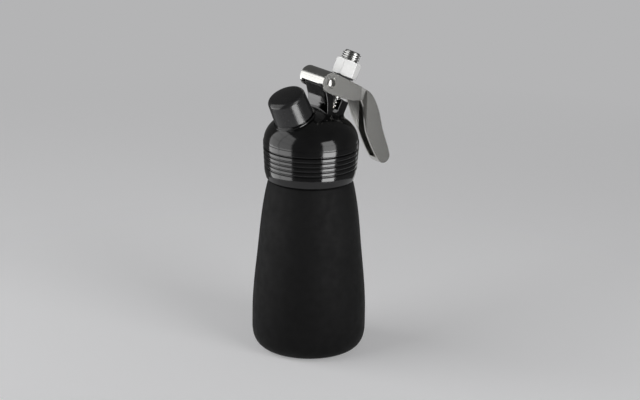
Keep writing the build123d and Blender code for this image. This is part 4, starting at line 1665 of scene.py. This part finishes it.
@dataclass
class Studio:
    """Floor, backdrop, light and camera."""

    azimuth: float = -36.0
    elevation: float = 17.5
    roll: float = 0.9
    distance: float = 1.3
    lens: float = 110.3
    sensor: float = 36.0
    aim: Point = (5.2, -3.8, 101.6)
    world_level: float = 0.1
    floor_colour: Colour = (0.8, 0.8, 0.81)
    glow: Place = (0.28, 0.56)    # of the floor, near and far
    fade: Place = (0.26, 0.75)    # metres from near to far
    table: float = 0.25
    reach: float = 3.0
    sweep: float = 0.3          # radius of the floor's rise, as a share of its reach
    pane: float = 0.97          # share of its place that each pane of a panel fills
    panels: tuple[Panel, ...] = (
        Panel("left_panel", -82.0, 0.9, 1.28, -0.42, 1.26, 1.6, 4, 2, 1.9),
        Panel("right_panel", 45.0, 0.9, 0.53, -0.4, 0.8, 3.2, 3, 1, 2.7),
        Panel("edge_panel", 157.0, 0.9, 0.42, -0.6, -0.03, 0.9),
    )

    def heading(self, side: float) -> Vector:
        """Level direction at some degrees to the right of the camera, from the object."""
        angle = radians(self.azimuth + side)
        return Vector((sin(angle), -cos(angle), 0.0))

    def camera(self) -> None:
        """Set the camera up."""
        back = self.heading(0.0) * cos(radians(self.elevation))
        back.z = sin(radians(self.elevation))
        camera = bpy.data.cameras.new("camera")
        camera.lens = self.lens
        camera.sensor_width = self.sensor
        holder = stand("camera", camera)
        turned = (-back).to_track_quat("-Z", "Y") @ Quaternion((0, 0, 1), radians(self.roll))
        holder.rotation_mode = "QUATERNION"
        holder.rotation_quaternion = turned
        holder.location = Vector(self.aim) * MILLIMETRE + back * self.distance
        bpy.context.scene.camera = holder

    def light(self) -> None:
        """Hang the panels and set the room's own light."""
        for panel in self.panels:
            out = self.heading(panel.side)
            across = Vector((-out.y, out.x, 0.0))
            width = panel.width / panel.columns
            height = (panel.high - panel.low) / panel.rows
            for row in range(panel.rows):
                for column in range(panel.columns):
                    pane = bpy.data.lights.new(panel.name, "AREA")
                    pane.shape = "RECTANGLE"
                    pane.size = width * self.pane
                    pane.size_y = height * self.pane
                    level = panel.level * (panel.under if row == 0 else 1.0)
                    pane.energy = level * pi * pane.size * pane.size_y
                    hung = stand(f"{panel.name}_{row}_{column}", pane)
                    shift = (column - (panel.columns - 1) / 2) * width
                    hung.location = out * panel.distance + across * shift
                    hung.location.z = panel.low + (row + 0.5) * height
                    hung.rotation_euler = (-out).to_track_quat("-Z", "Y").to_euler()
                    hung.visible_camera = False
        world = bpy.data.worlds.new("room")
        world.use_nodes = True
        world.node_tree.nodes["Background"].inputs[0].default_value = (1.0, 1.0, 1.0, 1.0)
        world.node_tree.nodes["Background"].inputs[1].default_value = self.world_level
        bpy.context.scene.world = world

    def paper(self) -> bpy.types.Material:
        """Pale paper that glows a little to the eye and in reflections, and far out only glows.

        Returns:
            The material.
        """
        graph = Graph("floor_paper")
        graph.set(Roughness=0.9, Emission_Color=self.floor_colour)
        out, _, _ = graph.node("SeparateXYZ", graph.around(0.0, (0.0, 0.0, 0.0))).outputs
        graph.shades(out, self.floor_colour, (0.0, 0.0, 0.0), *self.fade)
        rays = graph.node("LightPath").outputs
        seen = graph.math("MAXIMUM", rays["Is Camera Ray"], rays["Is Glossy Ray"])
        seen = graph.math("MAXIMUM", seen, rays["Is Transmission Ray"])
        glow = graph.math("MULTIPLY", seen, graph.spread(out, *self.glow, *self.fade))
        graph.feed(glow, "Emission Strength")
        return graph.material

    def floor(self) -> None:
        """Lay the table top, and round it a floor that curves up and takes no part in the light."""
        paper = self.paper()
        corner, height = self.reach * self.sweep, self.reach
        rounded = arc((self.reach, corner), (corner, corner), -90.0, 0.0, 24)
        outlines = {
            "table_top": corners((0.0, 0.0), (self.table, 0.0)),
            "floor": corners((self.table, 0.0)) + rounded + corners((self.reach + corner, height)),
        }
        for name, outline in outlines.items():
            mesh = Workpiece().sweep(outline).pour(name)
            mesh.shade_smooth()
            mesh.materials.append(paper)
            laid = stand(name, mesh)
            if name == "floor":
                laid.visible_glossy = laid.visible_shadow = laid.visible_diffuse = False

    def build(self) -> None:
        """Set up everything round the object."""
        self.camera()
        self.light()
        self.floor()
        bpy.context.scene.view_settings.view_transform = "Standard"


def main() -> None:
    """Build the dispenser from the bottle up, then the studio round it."""
    logging.basicConfig(level=logging.INFO, format="%(message)s")
    for assembly in (Bottle(), Head(), ChargerPort(), ChargerCap(), ValveSeat(), Valve(),
                     NozzleAdapter(), Lever(), PivotPin()):
        assembly.build()
    Studio().build()
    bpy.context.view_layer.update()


if __name__ == "__main__":
    main()
